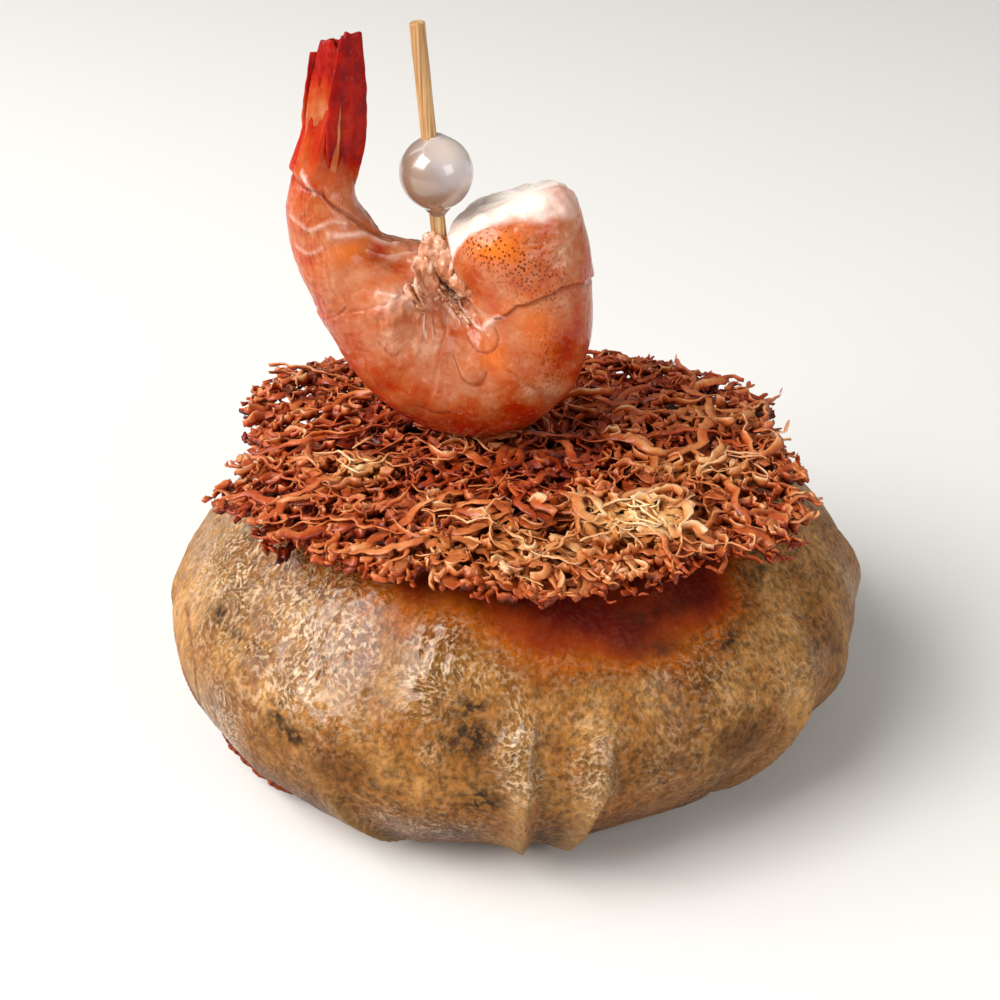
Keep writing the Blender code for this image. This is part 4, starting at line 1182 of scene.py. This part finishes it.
def bambooMaterial():
    # bamboo: straight pale fibres with darker bundles between them, cut and lightly sanded
    material, tree = newMaterial("sanded bamboo")
    place = addNode(tree, "TexCoord", out="Object")
    # fibre bundles 0.2 mm wide, drawn 0.4 mm so that they show, that run the length of the pick
    scale = [1 / (pick[name] * mm) for name in ("fibreWide", "fibreWide", "fibreLong")]
    drawn = addNode(tree, "Mapping", {"Vector": place, "Scale": scale})
    fibres = addNode(tree, "TexNoise", {"Vector": drawn, "Scale": 1.0, "Detail": 3.0, "Roughness": 0.55})
    stain = addNode(tree, "TexNoise", {"Vector": place, "Scale": 1 / (5 * mm), "Detail": 2.0})
    colour = addNode(tree, "ValToRGB", {"Fac": fibres},
                     stops=[(0.34, "#936437"), (0.46, "#bd8c56"), (0.6, "#d4a972"), (0.75, "#e0be8e")])
    tint = addNode(tree, "ValToRGB", {"Fac": stain}, stops=[(0.3, 0.85), (0.7, 1.05)])
    colour = addNode(tree, "Mix", {0: 1.0, 6: colour, 7: tint}, 2, data_type="RGBA", blend_type="MULTIPLY")
    bump = addNode(tree, "Bump", {"Height": fibres, "Strength": 0.5, "Distance": 0.12 * mm})
    shader = addNode(tree, "BsdfPrincipled", {"Base Color": colour, "Roughness": 0.5, "Normal": bump})
    addNode(tree, "OutputMaterial", {"Surface": shader})
    return material


def makePick():
    tip, top, sanded = pick["tipZ"], pick["top"][1], pick["sanded"]
    z = np.concatenate([tip + np.linspace(0, pick["point"], 10),
                        np.linspace(tip + pick["point"] + 1, top - sanded, 110), [top]])
    radius = pick["radius"] * np.minimum(1, 0.14 + 0.86 * (z - tip) / pick["point"])
    radius[-1] -= sanded
    turn = np.linspace(0, 2 * np.pi, 40, endpoint=False)
    along = unit(pickMiddle(np.array(top)) - pickMiddle(np.array(0.0)))
    across = np.cross(along, (0, 1, 0))
    aside = np.cross(across, along)
    groove = 1 - sum(depth * bell(angleBetween(np.degrees(turn), at), wide)
                     for at, wide, depth in pick["grooves"])
    size = radius[:, None] * groove + 0.015 * np.sin(z[:, None] * 0.8 + 3 * turn)
    ring = np.cos(turn)[:, None] * across + np.sin(turn)[:, None] * aside
    points, faces, _ = closedGrid(pickMiddle(z)[:, None] + size[..., None] * ring)
    piece = makePiece("bambooPick", points, faces, bambooMaterial(), "bamboo")
    piece.data.set_sharp_from_angle(angle=math.radians(40))
    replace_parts(piece, "pick")


bead = {
    "z": 86.1,
    "aside": 0.5,  # mm that it hangs off the pick's middle
    "radius": 5.0,
    "hole": 1.12,
    "nub": (0.88, -0.35, 0.32),  # direction of the small lump that the dipping left
    "nubHigh": 0.28,
    "paintedLightFrom": (0.74, -0.2, 0.64),  # direction from which the bead is painted lighter: painted light and shade across it
}


def pearlMaterial():
    # imitation pearl: lacquered white plastic, glossy, its colour painted from warm-grey shade to white light
    # across it
    material, tree = newMaterial("pearl lacquer on plastic")
    place = addNode(tree, "TexCoord", out="Object")
    clouds, grain = [addNode(tree, "TexNoise", {"Vector": place, "Scale": 1 / (size * mm), "Detail": detail})
                     for size, detail in ((4, 3.0), (0.5, 2.0))]
    # milky here is painted light and shade, from the dark side of the bead to its lit side
    milky = addNode(tree, "Attribute", out="Fac", attribute_name="milky")
    lustreAndPaintedShade = addNode(tree, "ValToRGB", {"Fac": milky},
                     stops=[(0.0, "#8e6e58"), (0.4, "#957c69"), (0.68, "#a8968a"), (1.0, "#ece4de")])
    tint = addNode(tree, "ValToRGB", {"Fac": clouds}, stops=[(0.3, "#f3e7dc"), (0.7, "#eceaf4")])
    colour = addNode(tree, "Mix", {0: 1.0, 6: lustreAndPaintedShade, 7: tint}, 2, data_type="RGBA", blend_type="MULTIPLY")
    bump = addNode(tree, "Bump", {"Height": grain, "Strength": 0.12, "Distance": 0.1 * mm})
    shader = addNode(tree, "BsdfPrincipled", {
        "Base Color": colour, "Roughness": 0.3, "Normal": bump, "Specular IOR Level": 0.7,
        "Coat Weight": 1.0, "Coat Roughness": 0.05, "Subsurface Weight": 0.1,
        "Subsurface Radius": (1 * mm, 1 * mm, 1 * mm), "Subsurface Scale": 1.0})
    addNode(tree, "OutputMaterial", {"Surface": shader})
    return material


def makeBead():
    middle = pickMiddle(np.array(bead["z"])) + np.array([bead["aside"], 0, 0])
    rise = np.linspace(-90, 90, 73)[:, None]
    turn = np.linspace(0, 2 * np.pi, 96, endpoint=False)[None]
    # the profile runs in at both ends to the hole that the pick goes through
    ring, up = bead["radius"] * np.cos(np.radians(rise)), bead["radius"] * np.sin(np.radians(rise))
    up = up + np.sign(rise) * smoothStep(ring, 2.4, 1.0) * np.where(rise < 0, 0.9, 0.15)
    ring = np.maximum(ring, bead["hole"] + 0.12 * (1 - np.abs(rise) / 90))
    ball = np.stack([ring * np.cos(turn), ring * np.sin(turn), up + 0 * turn], -1)
    away = ball / bead["radius"]
    nub = bead["nubHigh"] * np.exp(-((away - np.array(bead["nub"])) ** 2).sum(-1) / 0.012)
    grid = middle + ball * (1 + 0.012 * smoothNoise(away * 3, 1.6, 95)[..., None]) + away * nub[..., None]
    # painted light and shade: paler on the side that faces the light, darker away from it
    paints = {"milky": 0.5 + 0.5 * (away @ np.array(bead["paintedLightFrom"]))}
    points, faces, paints = closedGrid(grid, paints)
    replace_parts(makePiece("pearlBead", points, faces, pearlMaterial(), "pearl", paints), "bead")


makeStudio()
print("studio ready")
makePastry()
print("pastry ready")
makeLace()
print("lace ready")
makePrawn()
print("prawn ready")
makePick()
makeBead()
print("pick and bead ready")
